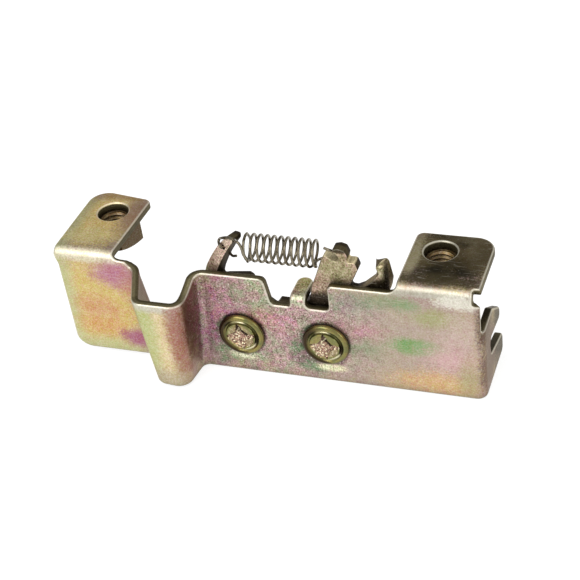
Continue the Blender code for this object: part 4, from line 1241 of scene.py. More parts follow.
@dataclass
class SheetBracket:
    """Folded sheet bracket: plate, rib, two fixing tabs, stop tongue and forked cable flange."""

    sheet: float = SHEET
    plate_top: float = -1.95
    plate_bottom: float = -26.15
    left_bottom: float = -25.3
    left_edge: float = -42.5
    left_shoulder: float = -1.3
    rib_top: Sequence[float] = (-25.4, -22.3, -11.9, -11.2, 8.9)
    rib_bottom: Sequence[float] = (-21.9, -20.6, -13.6, -12.9, 8.3)
    rib_foot_radius: float = 1.5
    rib_nose_radius: float = 2.9
    rib_lip: float = -4.5
    rib_foot_spread: float = 4.5
    tab_bend: float = 2.3
    hole_spacing: float = HOLE_SPACING
    hole_radius: float = 3.25
    hole_depths: Point = HOLE_DEPTHS
    left_tab: Sequence[float] = (-43.2, -29.9, -29.3, 20.8, 22.9)
    right_tab: Sequence[float] = (29.9, 46.1, 18.35)
    tab_radii: Sequence[float] = (4.0, 1.6, 2.0)
    notch_floor: float = -8.1
    notch_left: Point = (3.0, 4.0)
    tongue: Point = (7.95, TONGUE_RIGHT)
    tongue_top: float = TONGUE_TOP
    tongue_reach: float = 7.1
    tongue_bend: float = 1.9
    slot_right: float = 16.1
    notch_radius: float = 1.1
    flange_face: float = 46.75
    flange_bend: float = 2.0
    flange_depth: float = 16.6
    finger_reach: float = 14.4
    finger_radius: float = 1.3
    lower_finger_top: float = -21.8
    upper_finger_bottom: float = -16.2
    upper_finger_top: float = -9.5
    flange_top: float = -3.4
    flange_root: float = 1.8
    cable_slot: Sequence[float] = (5.4, -15.2, -19.3)
    relief: Point = (0.45, -3.0)
    pivot_height: float = PIVOT_HEIGHT
    pivots: Point = (CATCH_X, RELEASE_X)
    pivot_hole: float = 3.1
    waviness: float = 0.022

    def __post_init__(self) -> None:
        """Works out the plans of the sheet at the top and the bottom of the rib."""
        self.top = self._plan(self.rib_top)
        self.bottom = self._plan(self.rib_bottom)
        self.main_start = self.top.starts[Run.MAIN]
        self.corner = self.top.starts[Run.CORNER]
        self.flange = self.top.starts[Run.FLANGE] - self.flange_bend
        top_x, bottom_x = (plan.place(Run.MAIN, 0.0)[0].x for plan in (self.top, self.bottom))
        self.main = self.main_start - top_x
        self.drift = bottom_x - top_x

    def _plan(self, rib: Sequence[float]) -> Section:
        """Plan of the front face with one shape of the rib."""
        left, nose_left, nose_right, right, depth = rib
        return Section([
            (self.left_tab[0], 0.0, 0.0),
            (left, 0.0, self.rib_foot_radius),
            (nose_left, -depth, self.rib_nose_radius),
            (nose_right, -depth, self.rib_nose_radius),
            (right, 0.0, self.rib_foot_radius),
            (self.flange_face, 0.0, self.flange_bend),
            (self.flange_face, self.flange_depth, 0.0),
        ])

    def outline(self) -> list[Point]:
        """Edge of the flat blank, anticlockwise from its lower left corner."""
        main, corner, flange, notch = self.main, self.corner, self.flange, self.notch_radius
        starts, main_start = self.top.starts, self.main_start
        foot, nose = starts[Run.LEFT_FOOT], starts[Run.LEFT_NOSE]
        large, small, root = self.tab_radii
        right_inner, right_outer, right_rear = self.right_tab
        slot_root, slot_top, slot_bottom = self.cable_slot
        finger = self.finger_radius
        relief_top, relief_bottom = self.relief
        right_level = unfold(right_rear, 0.0, self.tab_bend)
        tip = unfold(self.tongue_reach, self.tongue_top, self.tongue_bend)
        tongue_radius = 0.48 * (self.tongue[1] - self.tongue[0])
        steps = 16
        dip = []
        for step in range(1, steps + 1):
            share = step / steps
            dip.append((main_start + (starts[Run.RIGHT_WALL] - main_start) * share,
                        self.plate_top + (self.rib_lip - self.plate_top) * ease(share), 0.0))
        for step in range(steps):
            share = step / steps
            dip.append((nose + (foot - nose) * share,
                        self.rib_lip + (self.left_shoulder - 1.0 - self.rib_lip) * share, 0.0))
        return rounded([
            (self.left_edge, self.left_bottom, 3.0),
            (foot, self.left_bottom, 0.0),
            (main_start, self.plate_bottom, 0.0),
            (flange + self.flange_depth, self.plate_bottom, finger),
            (flange + self.flange_depth, self.lower_finger_top, finger),
            (flange + slot_root + 1.0, slot_bottom, notch),
            (flange + slot_root, slot_top, notch),
            (flange + self.finger_reach, self.upper_finger_bottom, finger),
            (flange + self.finger_reach, self.upper_finger_bottom + 2.0 * finger, finger),
            (flange + 0.58 * self.finger_reach, self.upper_finger_top, finger),
            (corner + self.flange_root, self.upper_finger_top, 0.5),
            (corner + self.flange_root, self.flange_top, 0.5),
            (corner - 0.05, relief_bottom, 0.5),
            (corner - 0.05, relief_top, 0.4),
            (main + right_outer, relief_top + 0.1, 0.4),
            (main + right_outer, right_level, large),
            (main + right_inner, right_level, small),
            (main + right_inner, self.plate_top, root),
            (main + self.slot_right, self.plate_top, notch),
            (main + self.slot_right, self.notch_floor, notch),
            (main + self.tongue[1], self.notch_floor, notch),
            (main + self.tongue[1], tip, tongue_radius),
            (main + self.tongue[0], tip, tongue_radius),
            (main + self.tongue[0], self.notch_floor, 0.7),
            (main + self.notch_left[1], self.notch_floor, notch),
            (main + self.notch_left[0], self.plate_top, 1.6),
            (main_start, self.plate_top, 0.0),
            *dip,
            (foot - 0.4, self.left_shoulder, 0.9),
            (self.left_tab[1], self.left_shoulder + 0.3, root),
            (self.left_tab[2], unfold(self.left_tab[3], 0.0, self.tab_bend), small),
            (self.left_tab[0], unfold(self.left_tab[4], 0.0, self.tab_bend), large),
            (self.left_tab[0], self.left_shoulder, 0.8),
            (self.left_edge, self.left_shoulder - 2.4, 1.2),
        ])

    def place(self, run: float, depth: float, height: float) -> Vector:
        """Where a point of the flat blank lies on the folded bracket."""
        wave = noise.noise(Vector((run * 0.13, height * 0.13, 4.0))) + 0.5 * noise.noise(
            Vector((run * 0.3, height * 0.3, 9.0)))
        depth += self.waviness * wave
        on_tab = height > sum(self.relief) / 2.0 and run > self.corner - 0.1
        main = self.main
        tongue_low = main + (self.notch_left[1] + self.tongue[0]) / 2.0
        tongue_high = main + (self.tongue[1] + self.slot_right) / 2.0
        if tongue_low < run < tongue_high and height > self.notch_floor + 0.01:
            height, depth = fold_back(height, depth, self.tongue_top, self.tongue_bend)
        elif height > -self.tab_bend:
            height, depth = fold_back(height, depth, 0.0, self.tab_bend)
        if on_tab:
            return Vector((run - main, depth, height))
        index, share = self.top.locate(run)
        high, high_heading = self.top.place(index, share)
        if index < Run.MAIN:
            low, low_heading = self.bottom.place(index, share)
        else:
            spread = 1.0 - ease((run - self.main_start) / self.rib_foot_spread)
            low, low_heading = high + Vector((self.drift * spread, 0.0)), high_heading
        blend = min(1.0, max(0.0, (self.rib_lip - height) / (self.rib_lip - self.plate_bottom)))
        heading = high_heading + (low_heading - high_heading) * blend
        point = high.lerp(low, blend)
        return Vector((point.x - depth * math.sin(heading), point.y + depth * math.cos(heading), height))

    def build(self, effects: Effects) -> bpy.types.Object:
        """Cuts, folds and dresses the bracket.

        Args:
            effects: the shared node groups.

        Returns:
            The bracket.
        """
        half = self.hole_spacing / 2.0
        blank = Blank(
            self.outline(),
            [
                *(hole((x, unfold(depth, 0.0, self.tab_bend)), self.hole_radius)
                  for x, depth in zip((-half, self.main + half), self.hole_depths)),
                *(hole((self.main + x, self.pivot_height), self.pivot_hole) for x in self.pivots),
            ],
            self.sheet,
            Rim(0.5, 0.2, 5),
            bends_x=self.top.bends(),
            bends_z=[
                (-self.tab_bend, -self.tab_bend + self.tab_bend * math.pi / 2.0),
                (self.tongue_top - self.tongue_bend,
                 self.tongue_top - self.tongue_bend * (1 - math.pi / 2.0))],
        )
        bracket = new_piece(blank.mesh("bracket_sheet", self.place), ZINC.material(effects), Slot.YELLOW_ZINC)
        flatten_shading(bracket)
        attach(bracket, Body.BRACKET.value)
        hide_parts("bracket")
        report(bracket)
        return bracket


@dataclass
class CatchLever:
    """Catch lever: a thick blank with a stop block, whose spring arm is twisted about its length."""

    pivot: Sequence[float] = (CATCH_X, 1.9, PIVOT_HEIGHT)
    sheet: float = LEVER_SHEET
    hub_radius: float = 5.4
    bore: float = 3.7
    arm_width: float = 3.3
    twist: float = math.radians(25.0)
    setback: float = 1.0
    twist_rows: Point = (8.6, 12.0)
    top: float = 12.1
    reach: float = CATCH_REACH
    block_top: float = 7.0
    levels: Sequence[float] = (13.6, 15.4, 17.2, 18.9)
    hook_height: float = 18.9
    hook_hole: float = 0.45

    def centre(self, height: float) -> float:
        """Middle of the arm at a height above the pivot."""
        rise = max(0.0, height - self.twist_rows[1])
        return -5.95 + 0.4 * rise + 0.022 * rise * rise

    def outline(self) -> list[Point]:
        """Edge of the blank: hub, stop block, sloped rim and spring arm."""
        half = self.arm_width / 2.0
        hub = [polar(self.hub_radius, math.radians(angle)) + (0.0,) for angle in range(190, 331, 10)]
        block = math.sqrt(self.reach ** 2 - self.block_top ** 2)
        right = [(self.centre(z) + half - 0.04 * (z - self.top), z, 0.0) for z in self.levels]
        left = [(self.centre(z) - half + 0.05 * (z - self.top), z, 0.0) for z in self.levels]
        return rounded([
            *hub,
            (8.2, 0.6, 1.5),
            (block, self.block_top - 3.4, 1.0),
            (block, self.block_top, 0.0),
            (7.9, self.block_top + 0.1, 0.4),
            (6.85, 5.6, 0.3),
            (5.1, 7.05, 0.8),
            (2.6, self.top, 0.4),
            (1.9, self.top + 0.5, 0.4),
            (self.centre(self.top) + half, self.top - 0.3, 0.4),
            *right,
            (self.centre(20.6) + half - 0.3, 20.6, 0.3),
            (self.centre(21.6) + 0.5, 21.5, 0.6),
            (self.centre(21.3) - 0.9, 21.3, 0.6),
            *reversed(left),
            (-7.6, 11.4, 2.0),
            (-7.2, 4.0, 2.0),
        ])

    def twisted(self, x: float, depth: float, height: float) -> Vector:
        """Where a point of the flat lever lies once its arm is twisted, from the pivot."""
        middle = self.sheet / 2.0
        centre = self.centre(height)
        in_arm = 1.0 - ease((x - centre - 1.7) / 1.7) if height < self.top + 0.8 else 1.0
        low, high = self.twist_rows
        turn = self.twist * ease((height - low) / (high - low)) * in_arm
        across, through = x - centre, depth - middle
        return Vector((
            centre + across * math.cos(turn) + through * math.sin(turn),
            middle + self.setback * turn / self.twist - across * math.sin(turn) + through * math.cos(turn),
            height))

    def place(self, x: float, depth: float, height: float) -> Vector:
        """Where a point of the flat lever lies in the row frame."""
        return Vector(self.pivot) + self.twisted(x, depth, height)

    def build(self, material: bpy.types.Material) -> bpy.types.Object:
        """Cuts, twists and dresses the lever.

        Args:
            material: plating of the levers.

        Returns:
            The lever.
        """
        blank = Blank(
            self.outline(),
            [hole((0.0, 0.0), self.bore), hole(
                (self.centre(self.hook_height) + 0.15, self.hook_height), self.hook_hole, 32)],
            self.sheet, Rim(0.16, 0.1), bends_z=[self.twist_rows], coarse=0.9, edge=0.4)
        lever = new_piece(blank.mesh("catch_blade", self.place), material, Slot.DARK_ZINC)
        flatten_shading(lever)
        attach(lever, Body.CATCH.value)
        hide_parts("catch_lever")
        report(lever)
        return lever


@dataclass
class ReleaseLever:
    """Release lever: a thick blank with a pawl, a spring notch, a cradle and a folded cable horn."""

    pivot: Sequence[float] = (RELEASE_X, 1.9, PIVOT_HEIGHT)
    sheet: float = LEVER_SHEET
    hub_radius: float = 4.9
    bore: float = 3.7
    horn_face: float = 13.39
    horn_bend: float = 3.0
    horn_depth: float = 4.0
    horn_slope: float = 0.62
    catch_reach: float = CATCH_REACH
    catch_offset: float = -17.93
    stop: float = TONGUE_RIGHT + GAP - RELEASE_X
    under_tongue: float = TONGUE_TOP - SHEET - PIVOT_HEIGHT

    def __post_init__(self) -> None:
        """Works out the plan of the folded horn."""
        self.plan = Section([
            (-20.0, 0.0, 0.0), (self.horn_face, 0.0, self.horn_bend), (self.horn_face, self.horn_depth, 0.0)])

    def outline(self) -> list[Point]:
        """Edge of the blank: hub, cradle, horn, spring notch and pawl."""
        hub = [polar(self.hub_radius, math.radians(angle)) + (0.0,) for angle in range(180, 361, 10)]
        reach = self.horn_face + self.horn_depth - self.horn_bend * (2.0 - math.pi / 2.0)
        nose = [
            polar(self.catch_reach + 1.2 * GAP, math.radians(angle), (self.catch_offset, 0.0)) + (0.0,)
            for angle in (28.0, 24.0, 20.0, 16.0, 12.0, 8.0, 5.0)]
        return rounded([
            *hub,
            (7.0, 6.0, 3.0),
            (12.0, 10.8, 2.0),
            (reach - 1.1, 13.1, 1.0),
            (reach, 14.0, 0.5),
            (reach - 1.7, 18.3, 0.8),
            (13.6, 19.3, 0.6),
            (11.8, 19.1, 0.6),
            (11.0, 18.3, 0.6),
            (11.55, 16.7, 0.4),
            (10.2, 15.2, 1.0),
            (8.0, 13.2, 1.2),
            (6.5, 12.4, 1.0),
            (5.2, 12.6, 0.5),
            (7.45, 17.4, 0.8),
            (7.0, 18.9, 0.6),
            (5.3, 18.9, 0.3),
            (5.6, 20.3, 0.5),
            (5.1, 21.6, 0.6),
            (3.9, 22.0, 0.8),
            (2.4, 21.6, 0.3),
            (3.6, 20.2, 0.3),
            (3.95, 19.3, 0.4),
            (3.3, 18.85, 0.4),
            (2.3, 19.1, 0.4),
            (0.9, 20.2, 0.4),
            (0.1, 18.9, 0.6),
            (-1.1, 15.6, 1.5),
            (-2.2, 12.9, 1.0),
            (self.stop + 0.4, self.under_tongue + 1.3, 0.6),
            (self.stop, self.under_tongue - GAP / 2.0, 0.0),
            *nose,
        ])

    def place(self, run: float, depth: float, height: float) -> Vector:
        """Where a point of the flat lever lies in the row frame."""
        point, heading = self.plan.place(*self.plan.locate(run))
        on_horn = ease((run - 11.2) / 1.8) * ease((height - 16.0) / 3.0)
        height += self.horn_slope * (self.sheet / 2.0 - depth) * on_horn
        return Vector(self.pivot) + Vector((
            point.x - depth * math.sin(heading), point.y + depth * math.cos(heading), height))

    def build(self, material: bpy.types.Material) -> bpy.types.Object:
        """Cuts, folds and dresses the lever.

        Args:
            material: plating of the levers.

        Returns:
            The lever.
        """
        blank = Blank(
            self.outline(), [hole((0.0, 0.0), self.bore)], self.sheet, Rim(0.24, 0.16),
            bends_x=self.plan.bends(), coarse=0.9, edge=0.4)
        lever = new_piece(blank.mesh("release_blade", self.place), material, Slot.DARK_ZINC)
        flatten_shading(lever)
        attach(lever, Body.RELEASE.value)
        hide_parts("release_lever")
        report(lever)
        return lever


@dataclass
class StakedPivot:
    """Stepped rivet whose front head is formed and staked with a four-pointed punch."""

    node: str
    x: float
    turn: float
    seed: float
    lobes: Sequence[float]
    height: float = PIVOT_HEIGHT
    sheet: float = SHEET
    lever: float = LEVER_SHEET
    tenon: float = 2.8
    shoulder: float = 3.4
    head: float = 4.86
    boss: float = 3.1
    head_height: float = 1.1
    rear_head: float = 4.6
    rear_height: float = 1.4
    recess: float = 0.6
    segments: int = 144

    def _star(self, radius: float, angle: float) -> float:
        """How far a point lies in one of the punch's four arms, from 0 to 1."""
        quarter = math.pi / 2.0
        off = (angle - self.turn + quarter / 2.0) % quarter - quarter / 2.0
        across, along = radius * abs(math.sin(off)), radius * math.cos(off)
        width = 0.2 + 1.15 * (1.0 - along / (self.boss - 0.05))
        wander = 0.3 * noise.noise(Vector((radius * 1.2, angle * 2.0, self.seed)))
        return 1.0 - ease((across - width - wander + 0.12) / 0.24)

    def _lobe(self, radius: float, angle: float) -> float:
        """How far the metal between two arms was beaten down as well, from 0 to 1."""
        quarter = math.pi / 2.0
        turned = (angle - self.turn) % (2.0 * math.pi)
        share = self.lobes[int(turned // quarter) % 4]
        middle = math.sin(2.0 * (turned % quarter))
        wander = 0.5 * noise.noise(Vector((radius * 1.5, angle * 2.5, self.seed + 3.0)))
        reach = 1.0 - ease((radius + wander - self.boss + 0.55) / 0.4)
        return share * ease(1.6 * max(0.0, middle)) * reach

    def _groove(self, radius: float, angle: float) -> float:
        """How far a point lies in the groove behind the lobe that was pushed outwards."""
        turned = angle - self.turn - math.radians(36.0)
        along, across = radius * math.cos(turned), radius * math.sin(turned)
        return (1.0 - ease((abs(along - 1.2) - 0.42) / 0.14)) * (1.0 - ease((abs(across) - 0.7) / 0.25))

    def _painted_shade(self, radius: float, angle: float, share: float, groove: float) -> float:
        """How much painted shade a point gets: on the left of the ring, in its groove and in the upper arm.
        """
        wander = 0.3 * noise.noise(Vector((radius * 1.1, angle * 1.5, self.seed + 8.0)))
        side = ease(0.4 - math.cos(angle - 0.3) + wander)
        outer = ease((radius - self.boss - 1.1 + 0.65 * side) / 0.35) * (0.3 + 0.65 * side)
        inner = ease((radius - self.boss + 0.05) / 0.1) * ease((self.boss + 0.8 - radius) / 0.3)
        inner *= 0.2 + 0.7 * ease(5.0 * math.cos(angle + 0.3) - 4.0 + wander)
        off = (angle - self.turn - math.pi / 2.0 + math.pi) % (2.0 * math.pi) - math.pi
        arm = share * ease((0.5 - abs(off)) / 0.2) * ease((radius - 0.7) / 0.5)
        return min(1.0, outer + inner + 0.75 * arm + 0.95 * groove)

    def _painted_highlight(self, radius: float, angle: float) -> float:
        """How strong the painted highlight is on the turned dish round the boss at a point, at its top and
        its bottom.
        """
        band = ease((radius - self.boss - 0.05) / 0.12) * ease((self.boss + 0.62 - radius) / 0.2)
        upper = ease(6.0 * math.cos(angle - math.radians(96.0)) - 4.9)
        lower = ease(6.0 * math.cos(angle - math.radians(-62.0)) - 4.9)
        return band * min(1.0, upper + lower)

    def _profile(self) -> list[Point]:
        """Radius and height of the head's rings, from the middle of its boss outwards and round the back."""
        front = GAP + self.head_height
        steps = 40
        rows = [
            (self.boss * 0.97 * step / steps, front + 0.1 * (1.0 - (step / steps) ** 2))
            for step in range(1, steps + 1)]
        rows += [(self.boss + out, front - down) for out, down in (
            (0.0, 0.06), (0.06, 0.24), (0.12, 0.46), (0.24, 0.58), (0.4, 0.56), (0.6, 0.42), (0.8, 0.24),
            (0.95, 0.14), (1.1, 0.12))]
        rows += [(self.head - short, front - down) for short, down in (
            (0.42, 0.2), (0.2, 0.36), (0.06, 0.56), (0.0, 0.76))]
        rows += [
            (self.head, GAP + 0.2), (self.head - 0.06, GAP + 0.05), (self.head - 0.15, 0.05),
            (self.tenon, 0.05)]
        back = -self.sheet - GAP
        end = back - self.lever - GAP
        rows += [
            (self.tenon, back), (self.shoulder, back), (self.shoulder, end), (self.rear_head - 0.12, end),
            (self.rear_head, end - 0.12), (self.rear_head, end - 0.7 * self.rear_height),
            (self.rear_head - 0.2, end - 0.93 * self.rear_height),
            (self.rear_head - 0.6, end - self.rear_height), (0.5, end - self.rear_height - 0.02)]
        return rows

    def build(self, material: bpy.types.Material) -> bpy.types.Object:
        """Turns, stakes and dresses the rivet.

        Args:
            material: plating of the rivets.

        Returns:
            The rivet.
        """
        rows, shares, painted_shade, painted_highlight = [], [], [], []
        for radius, height in self._profile():
            row = []
            for index in range(self.segments):
                angle = 2.0 * math.pi * index / self.segments
                beaten = radius < self.boss * 0.99 and height > 0.0
                share = max(self._star(radius, angle), self._lobe(radius, angle)) if beaten else 0.0
                groove = self._groove(radius, angle) if beaten else 0.0
                share = max(share, groove)
                rough = noise.noise(Vector((*polar(radius * 2.3, angle), self.seed)))
                grit = noise.noise(Vector((*polar(radius * 6.0, angle), self.seed + 5.0)))
                sunk = self.recess * share * (1.0 - 0.45 * (radius / self.boss) ** 2) + 0.12 * groove
                level = height - sunk + share * (0.26 * rough + 0.16 * grit)
                ring = 1.0
                if height > GAP and radius > self.boss:
                    ring += 0.006 * noise.noise(Vector((*polar(2.0, angle), self.seed)))
                x, z = polar(radius * ring, angle, (self.x, self.height))
                row.append(Vector((x, -level, z)))
                shares.append(share)
                # Painted shade at this point of the head.
                painted_shade.append(self._painted_shade(radius, angle, share, groove) if height > 0.0 else 0.0)
                # Painted highlight along the ridges of the staked metal.
                ridge_highlight = share * (1.0 - groove) * ease((rough - 0.12) / 0.16)
                painted_highlight.append(max(self._painted_highlight(radius, angle), 0.8 * ridge_highlight) if height > 0.0 else 0.0)
            rows.append(row)
        points, faces = lattice(rows)
        faces.append(list(range(self.segments)))
        faces.append([len(points) - self.segments + index for index in range(self.segments)])
        mesh = bpy.data.meshes.new(self.node + "_head")
        mesh.from_pydata(points, [], faces)
        for label, values in (("staked", shares), ("painted_shade", painted_shade), ("painted_highlight", painted_highlight)):
            layer = mesh.attributes.new(label, "FLOAT", "POINT")
            layer.data.foreach_set("value", np.array(values, np.float32))
        rivet = new_piece(finished(mesh), material, Slot.RIVET_ZINC)
        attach(rivet, Body.BRACKET.value)
        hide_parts(self.node)
        report(rivet)
        return rivet


@dataclass
class WeldNut:
    """Hexagon weld nut under a fixing tab, with a real thread in its bore."""

    node: str
    x: float
    depth: float
    top: float = -1.9
    flats: float = 10.0
    height: float = 5.0
    bore: float = 2.55
    major: float = 3.0
    pitch: float = 1.0
    turn: float = math.radians(2.4)
    columns: int = 96

    def _outer(self, angle: float) -> float:
        """Distance of the hexagon's side at an angle."""
        sixth = math.pi / 3.0
        off = (angle - self.turn) % sixth - sixth / 2.0
        return self.flats / 2.0 / math.cos(off)

    def build(self, material: bpy.types.Material) -> bpy.types.Object:
        """Shapes, threads and dresses the nut.

        Args:
            material: plating of the nuts.

        Returns:
            The nut.
        """
        rows: list[list[Vector]] = []
        angles = [self.turn + 2.0 * math.pi * column / self.columns for column in range(self.columns)]
        bottom = self.top - self.height

        def row(radius: Callable[[float], float], level: Callable[[float], float]) -> None:
            """Adds one loop of points."""
            rows.append([
                Vector((*polar(radius(angle), angle, (self.x, self.depth)), level(angle)))
                for angle in angles])

        thread_rows = 60
        for index in range(thread_rows + 1):
            level = bottom + 0.3 + (self.height - 0.6) * index / thread_rows

            def threaded(angle: float, level: float = level) -> float:
                """Radius of the thread at an angle of this level."""
                phase = ((level - bottom) / self.pitch - angle / (2.0 * math.pi)) % 1.0
                rise = min(1.0, max(0.0, 1.35 * (1.0 - abs(2.0 * phase - 1.0)) - 0.1))
                return self.bore + (self.major - self.bore) * rise

            row(threaded, lambda angle, level=level: level)
        row(lambda angle: self.bore + 0.45, lambda angle: self.top)
        limit = self.flats / 2.0 - 0.15
        slope = math.tan(math.radians(30.0))
        row(lambda angle: limit, lambda angle: self.top)
        row(self._outer, lambda angle: self.top - 0.12)
        row(self._outer, lambda angle: bottom + max(0.1, (self._outer(angle) - limit) * slope))
        row(lambda angle: limit, lambda angle: bottom)
        row(lambda angle: self.bore + 0.45, lambda angle: bottom)
        points, faces = lattice(rows, close_rows=True)
        mesh = bpy.data.meshes.new(self.node + "_threaded")
        mesh.from_pydata(points, [], faces)
        nut = new_piece(finished(mesh, sharp=24.0), material, Slot.DARK_ZINC)
        bevel = nut.modifiers.new("broken_edges", "BEVEL")
        bevel.width = 0.00012
        bevel.segments = 2
        bevel.limit_method = "ANGLE"
        bevel.angle_limit = math.radians(40.0)
        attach(nut, Body.BRACKET.value)
        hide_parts(self.node)
        report(nut)
        return nut


@dataclass
class TensionSpring:
    """Tension spring from the catch lever's arm to the release lever's notch."""

    catch: CatchLever
    release: ReleaseLever
    wire: float = 0.28
    radius: float = 2.65
    turns: int = 11
    height: float = 3.25
    depth: float = 3.3
    ends: Point = (-1.6, 14.0)
    joined: int = 28
    start: float = math.radians(-60.0)
    per_turn: int = 48
    moving_turns: int = 9
    lead: float = 0.8
    sides: int = 14

    def coils(self) -> list[Vector]:
        """Centre line of the coils."""
        total = self.turns * self.per_turn
        left, right = self.ends
        points = []
        for step in range(total + 1):
            angle = self.start + 2.0 * math.pi * step / self.per_turn
            points.append(Vector((
                left + (right - left) * step / total,
                self.depth + self.radius * math.sin(angle),
                self.height - self.radius * math.cos(angle))))
        return points

    def left_hook(self, start: Vector) -> list[Vector]:
        """Hook through the catch arm's hole and round its back, from its loose end to the first coil."""
        pivot = Vector(self.catch.pivot)
        behind = self.catch.sheet + self.wire + GAP
        top = self.catch.hook_height
        across_arm = (
            (2.81, behind - 0.08, top - 3.05), (1.89, behind - 0.08, top - 3.4), (0.75, behind, top - 2.9),
            (0.2, behind, top - 1.5), (0.15, self.catch.sheet + 0.3, top - 0.2), (0.15, 1.3, top),
            (0.05, -0.3, top + 0.15), (-0.7, -0.45, top + 0.5), (-1.75, 0.1, top + 0.75),
            (-1.9, 0.1, top + 1.4), (-1.25, -0.45, top + 2.2), (-0.4, -0.45, top + 2.65),
            (0.7, -0.45, top + 2.8), (1.68, -0.4, top + 2.8))
        knots = [
            pivot + self.catch.twisted(self.catch.centre(top + rise) + across, depth, top + rise)
            for across, depth, rise in ((x, depth, height - top) for x, depth, height in across_arm)]
        knots += [Vector(point) for point in (
            (-1.31, 0.65, 6.13), (-0.94, 0.65, 5.67), (-0.57, 0.65, 4.45), (-0.42, 0.6, 3.34),
            (0.0, 0.85, 2.1), (-0.1, 1.4, 1.1), (-0.45, 2.6, 0.6), (-0.8, 4.2, 0.76), (-0.95, 5.6, 1.9),
            (-0.92, 5.95, 3.4))]
        return smooth_through(knots + [start], 10)

    def right_hook(self, end: Vector) -> list[Vector]:
        """Hook behind the release lever and up through its notch, from the last coil to the loose end."""
        pivot = Vector(self.release.pivot)
        sheet = self.release.sheet
        behind = sheet + self.wire + GAP
        knots = [end, end + Vector((-0.15, 1.0, -0.8))] + [
            pivot + Vector(point) for point in (
                (-1.55, 1.6, 16.95), (-1.5, 2.6, 16.9), (-0.8, behind + 0.1, 17.0),
                (0.9, behind + 0.25, 17.6), (2.5, behind + 0.1, 18.7), (3.05, sheet + 0.35, 19.3),
                (3.1, sheet - 0.4, 19.55), (2.6, 1.2, 20.5), (1.9, 0.5, 21.3), (1.04, 0.2, 21.85))]
        return smooth_through(knots, 12)[1:] + [knots[-1]]

    def build(self, effects: Effects) -> list[bpy.types.Object]:
        """Winds and dresses the spring in two lengths of wire, one for each end.

        Args:
            effects: the shared node groups.

        Returns:
            The two lengths.
        """
        material = SPRING_WIRE.material(effects)
        coils = self.coils()
        split = self.moving_turns * self.per_turn
        left_route = self.left_hook(coils[self.joined]) + coils[self.joined:split + 1]
        right_route = coils[split:] + self.right_hook(coils[-1])
        left, right = (
            new_piece(tube(name, route, self.wire, self.sides, caps), material, Slot.SPRING_STEEL)
            for name, route, caps in (
                ("spring_left", left_route, (True, False)), ("spring_right", right_route, (False, True))))
        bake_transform(left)
        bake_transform(right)
        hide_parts("tension_spring")
        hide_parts("tension_spring")
        report(left)
        report(right)
        return [left, right]


# ---- Studio ----


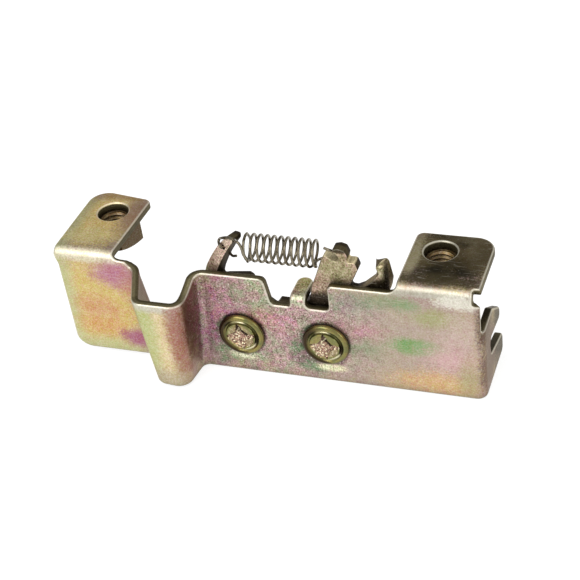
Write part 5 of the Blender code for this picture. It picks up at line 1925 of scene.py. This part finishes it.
@dataclass
class Studio:
    """Pale floor, soft lights, white surroundings and the camera of the photograph."""

    camera_place: Sequence[float] = (95.373, -200.826, 158.269)
    right: Sequence[float] = (0.9421, 0.3154, -0.1137)
    down: Sequence[float] = (0.1038, -0.5969, -0.7956)
    ahead: Sequence[float] = (-0.3188, 0.7377, -0.5951)
    lens: float = 86.47
    sensor: float = 36.0
    floor_level: float = -26.3
    floor_tone: float = 0.42
    floor_glow: float = 0.8
    ambient: float = 0.6
    cards: Sequence[tuple[str, Sequence[float], Point, float]] = (
        ("back_card", (-0.3, 0.8, 0.62), (1.8, 1.0), 0.32),
        ("left_card", (-1.0, 0.05, 0.22), (1.2, 0.9), 0.22),
        ("right_card", (1.0, 0.35, 0.22), (1.2, 0.9), 0.22),
    )
    lamps: Sequence[tuple[str, Sequence[float], float, float]] = (
        ("key", (-0.25, -0.5, 0.62), 0.55, 2.9),
        ("fill", (0.75, -0.3, 0.35), 0.4, 0.9),
    )

    def build_camera(self) -> None:
        """Sets the camera where the photograph was taken from."""
        data = bpy.data.cameras.new("camera")
        data.lens, data.sensor_width = self.lens, self.sensor
        data.clip_start, data.clip_end = 0.01, 20.0
        camera = bpy.data.objects.new("camera", data)
        bpy.context.scene.collection.objects.link(camera)
        up, behind = -Vector(self.down), -Vector(self.ahead)
        axes = Matrix((self.right, up, behind)).transposed()
        camera.matrix_world = Matrix.Translation(Vector(self.camera_place) * MM) @ axes.to_4x4()
        bpy.context.scene.camera = camera

    def build_world(self) -> None:
        """Soft even light, in white surroundings that the camera and the metal see."""
        world = bpy.data.worlds.new("surroundings")
        world.use_nodes = True
        bpy.context.scene.world = world
        w = Wiring(world.node_tree)
        shader = world.node_tree.nodes["Background"]
        shader.inputs["Color"].default_value = WHITE
        w.send(shader, {"Strength": w.ramp(w.seen(), 0.0, 1.0, self.ambient, 1.0, False)})

    @staticmethod
    def _flat(name: str, size: Point) -> bpy.types.Object:
        """Adds one flat sheet of a width and a depth in metres."""
        mesh = bpy.data.meshes.new(name)
        corners = ((-0.5, -0.5), (0.5, -0.5), (0.5, 0.5), (-0.5, 0.5))
        mesh.from_pydata([(x * size[0], y * size[1], 0.0) for x, y in corners], [], [range(4)])
        sheet = bpy.data.objects.new(name, mesh)
        bpy.context.scene.collection.objects.link(sheet)
        return sheet

    @staticmethod
    def _aim(item: bpy.types.Object, place: Sequence[float]) -> None:
        """Puts a card or a lamp in its place, turned towards the object."""
        item.location = place
        item.rotation_mode = "QUATERNION"
        item.rotation_quaternion = Vector(place).to_track_quat("Z", "Y")

    def build_floor(self) -> None:
        """Pale floor that keeps the object's shadow."""
        floor = self._flat("floor", (6.0, 6.0))
        floor.location = (0.0, 0.0, self.floor_level * MM)
        material, shader, w = new_material("floor_card")
        shader.inputs["Base Color"].default_value = (self.floor_tone,) * 3 + (1.0,)
        shader.inputs["Roughness"].default_value = 0.9
        shader.inputs["Specular IOR Level"].default_value = 0.0
        shader.inputs["Emission Color"].default_value = WHITE
        w.send(shader, {"Emission Strength": w.maths("MULTIPLY", w.seen(), self.floor_glow)})
        floor.data.materials.append(material)

    def build_cards(self) -> None:
        """Grey cards behind the object and at its sides, seen only in its reflections."""
        for name, place, size, tone in self.cards:
            card = self._flat(name, size)
            self._aim(card, place)
            card.visible_camera = card.visible_diffuse = False
            card.visible_shadow = card.visible_transmission = False
            material, shader, _ = new_material(name)
            shader.inputs["Base Color"].default_value = (0.02, 0.02, 0.02, 1.0)
            shader.inputs["Specular IOR Level"].default_value = 0.0
            shader.inputs["Emission Color"].default_value = WHITE
            shader.inputs["Emission Strength"].default_value = tone
            card.data.materials.append(material)

    def build_lights(self) -> None:
        """Soft lamps: a key in front, above the camera, and a weaker fill at the right."""
        for name, place, size, power in self.lamps:
            data = bpy.data.lights.new(name, "AREA")
            data.shape, data.size, data.energy = "SQUARE", size, power
            lamp = bpy.data.objects.new(name, data)
            self._aim(lamp, place)
            bpy.context.scene.collection.objects.link(lamp)

    def build(self) -> None:
        """Builds the whole studio."""
        self.build_camera()
        self.build_world()
        self.build_floor()
        self.build_cards()
        self.build_lights()
        bpy.context.scene.view_settings.view_transform = "Standard"


def main() -> None:
    """Builds and dresses every sub-assembly in order."""
    logging.basicConfig(level=logging.INFO, format="%(name)s: %(message)s")
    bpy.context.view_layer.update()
    Studio().build()
    effects = Effects()
    SheetBracket().build(effects)
    plating = LEVER_ZINC.material(effects)
    catch, release = CatchLever(), ReleaseLever()
    catch.build(plating)
    release.build(plating)
    rivet_metal = RIVET_ZINC.material(effects)
    for rivet in (
            StakedPivot("catch_pivot_rivet", CATCH_X, math.radians(8.0), 1.0, (0.25, 0.3, 0.95, 0.5)),
            StakedPivot("release_pivot_rivet", RELEASE_X, math.radians(2.0), 7.0, (0.0, 0.05, 0.9, 0.45))):
        rivet.build(rivet_metal)
    nut_metal = NUT_ZINC.material(effects)
    for name, x, depth in zip(
            ("left_weld_nut", "right_weld_nut"), (-HOLE_SPACING / 2.0, HOLE_SPACING / 2.0), HOLE_DEPTHS):
        WeldNut(name, x, depth).build(nut_metal)
    TensionSpring(catch, release).build(effects)
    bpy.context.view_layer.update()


if __name__ == "__main__":
    main()
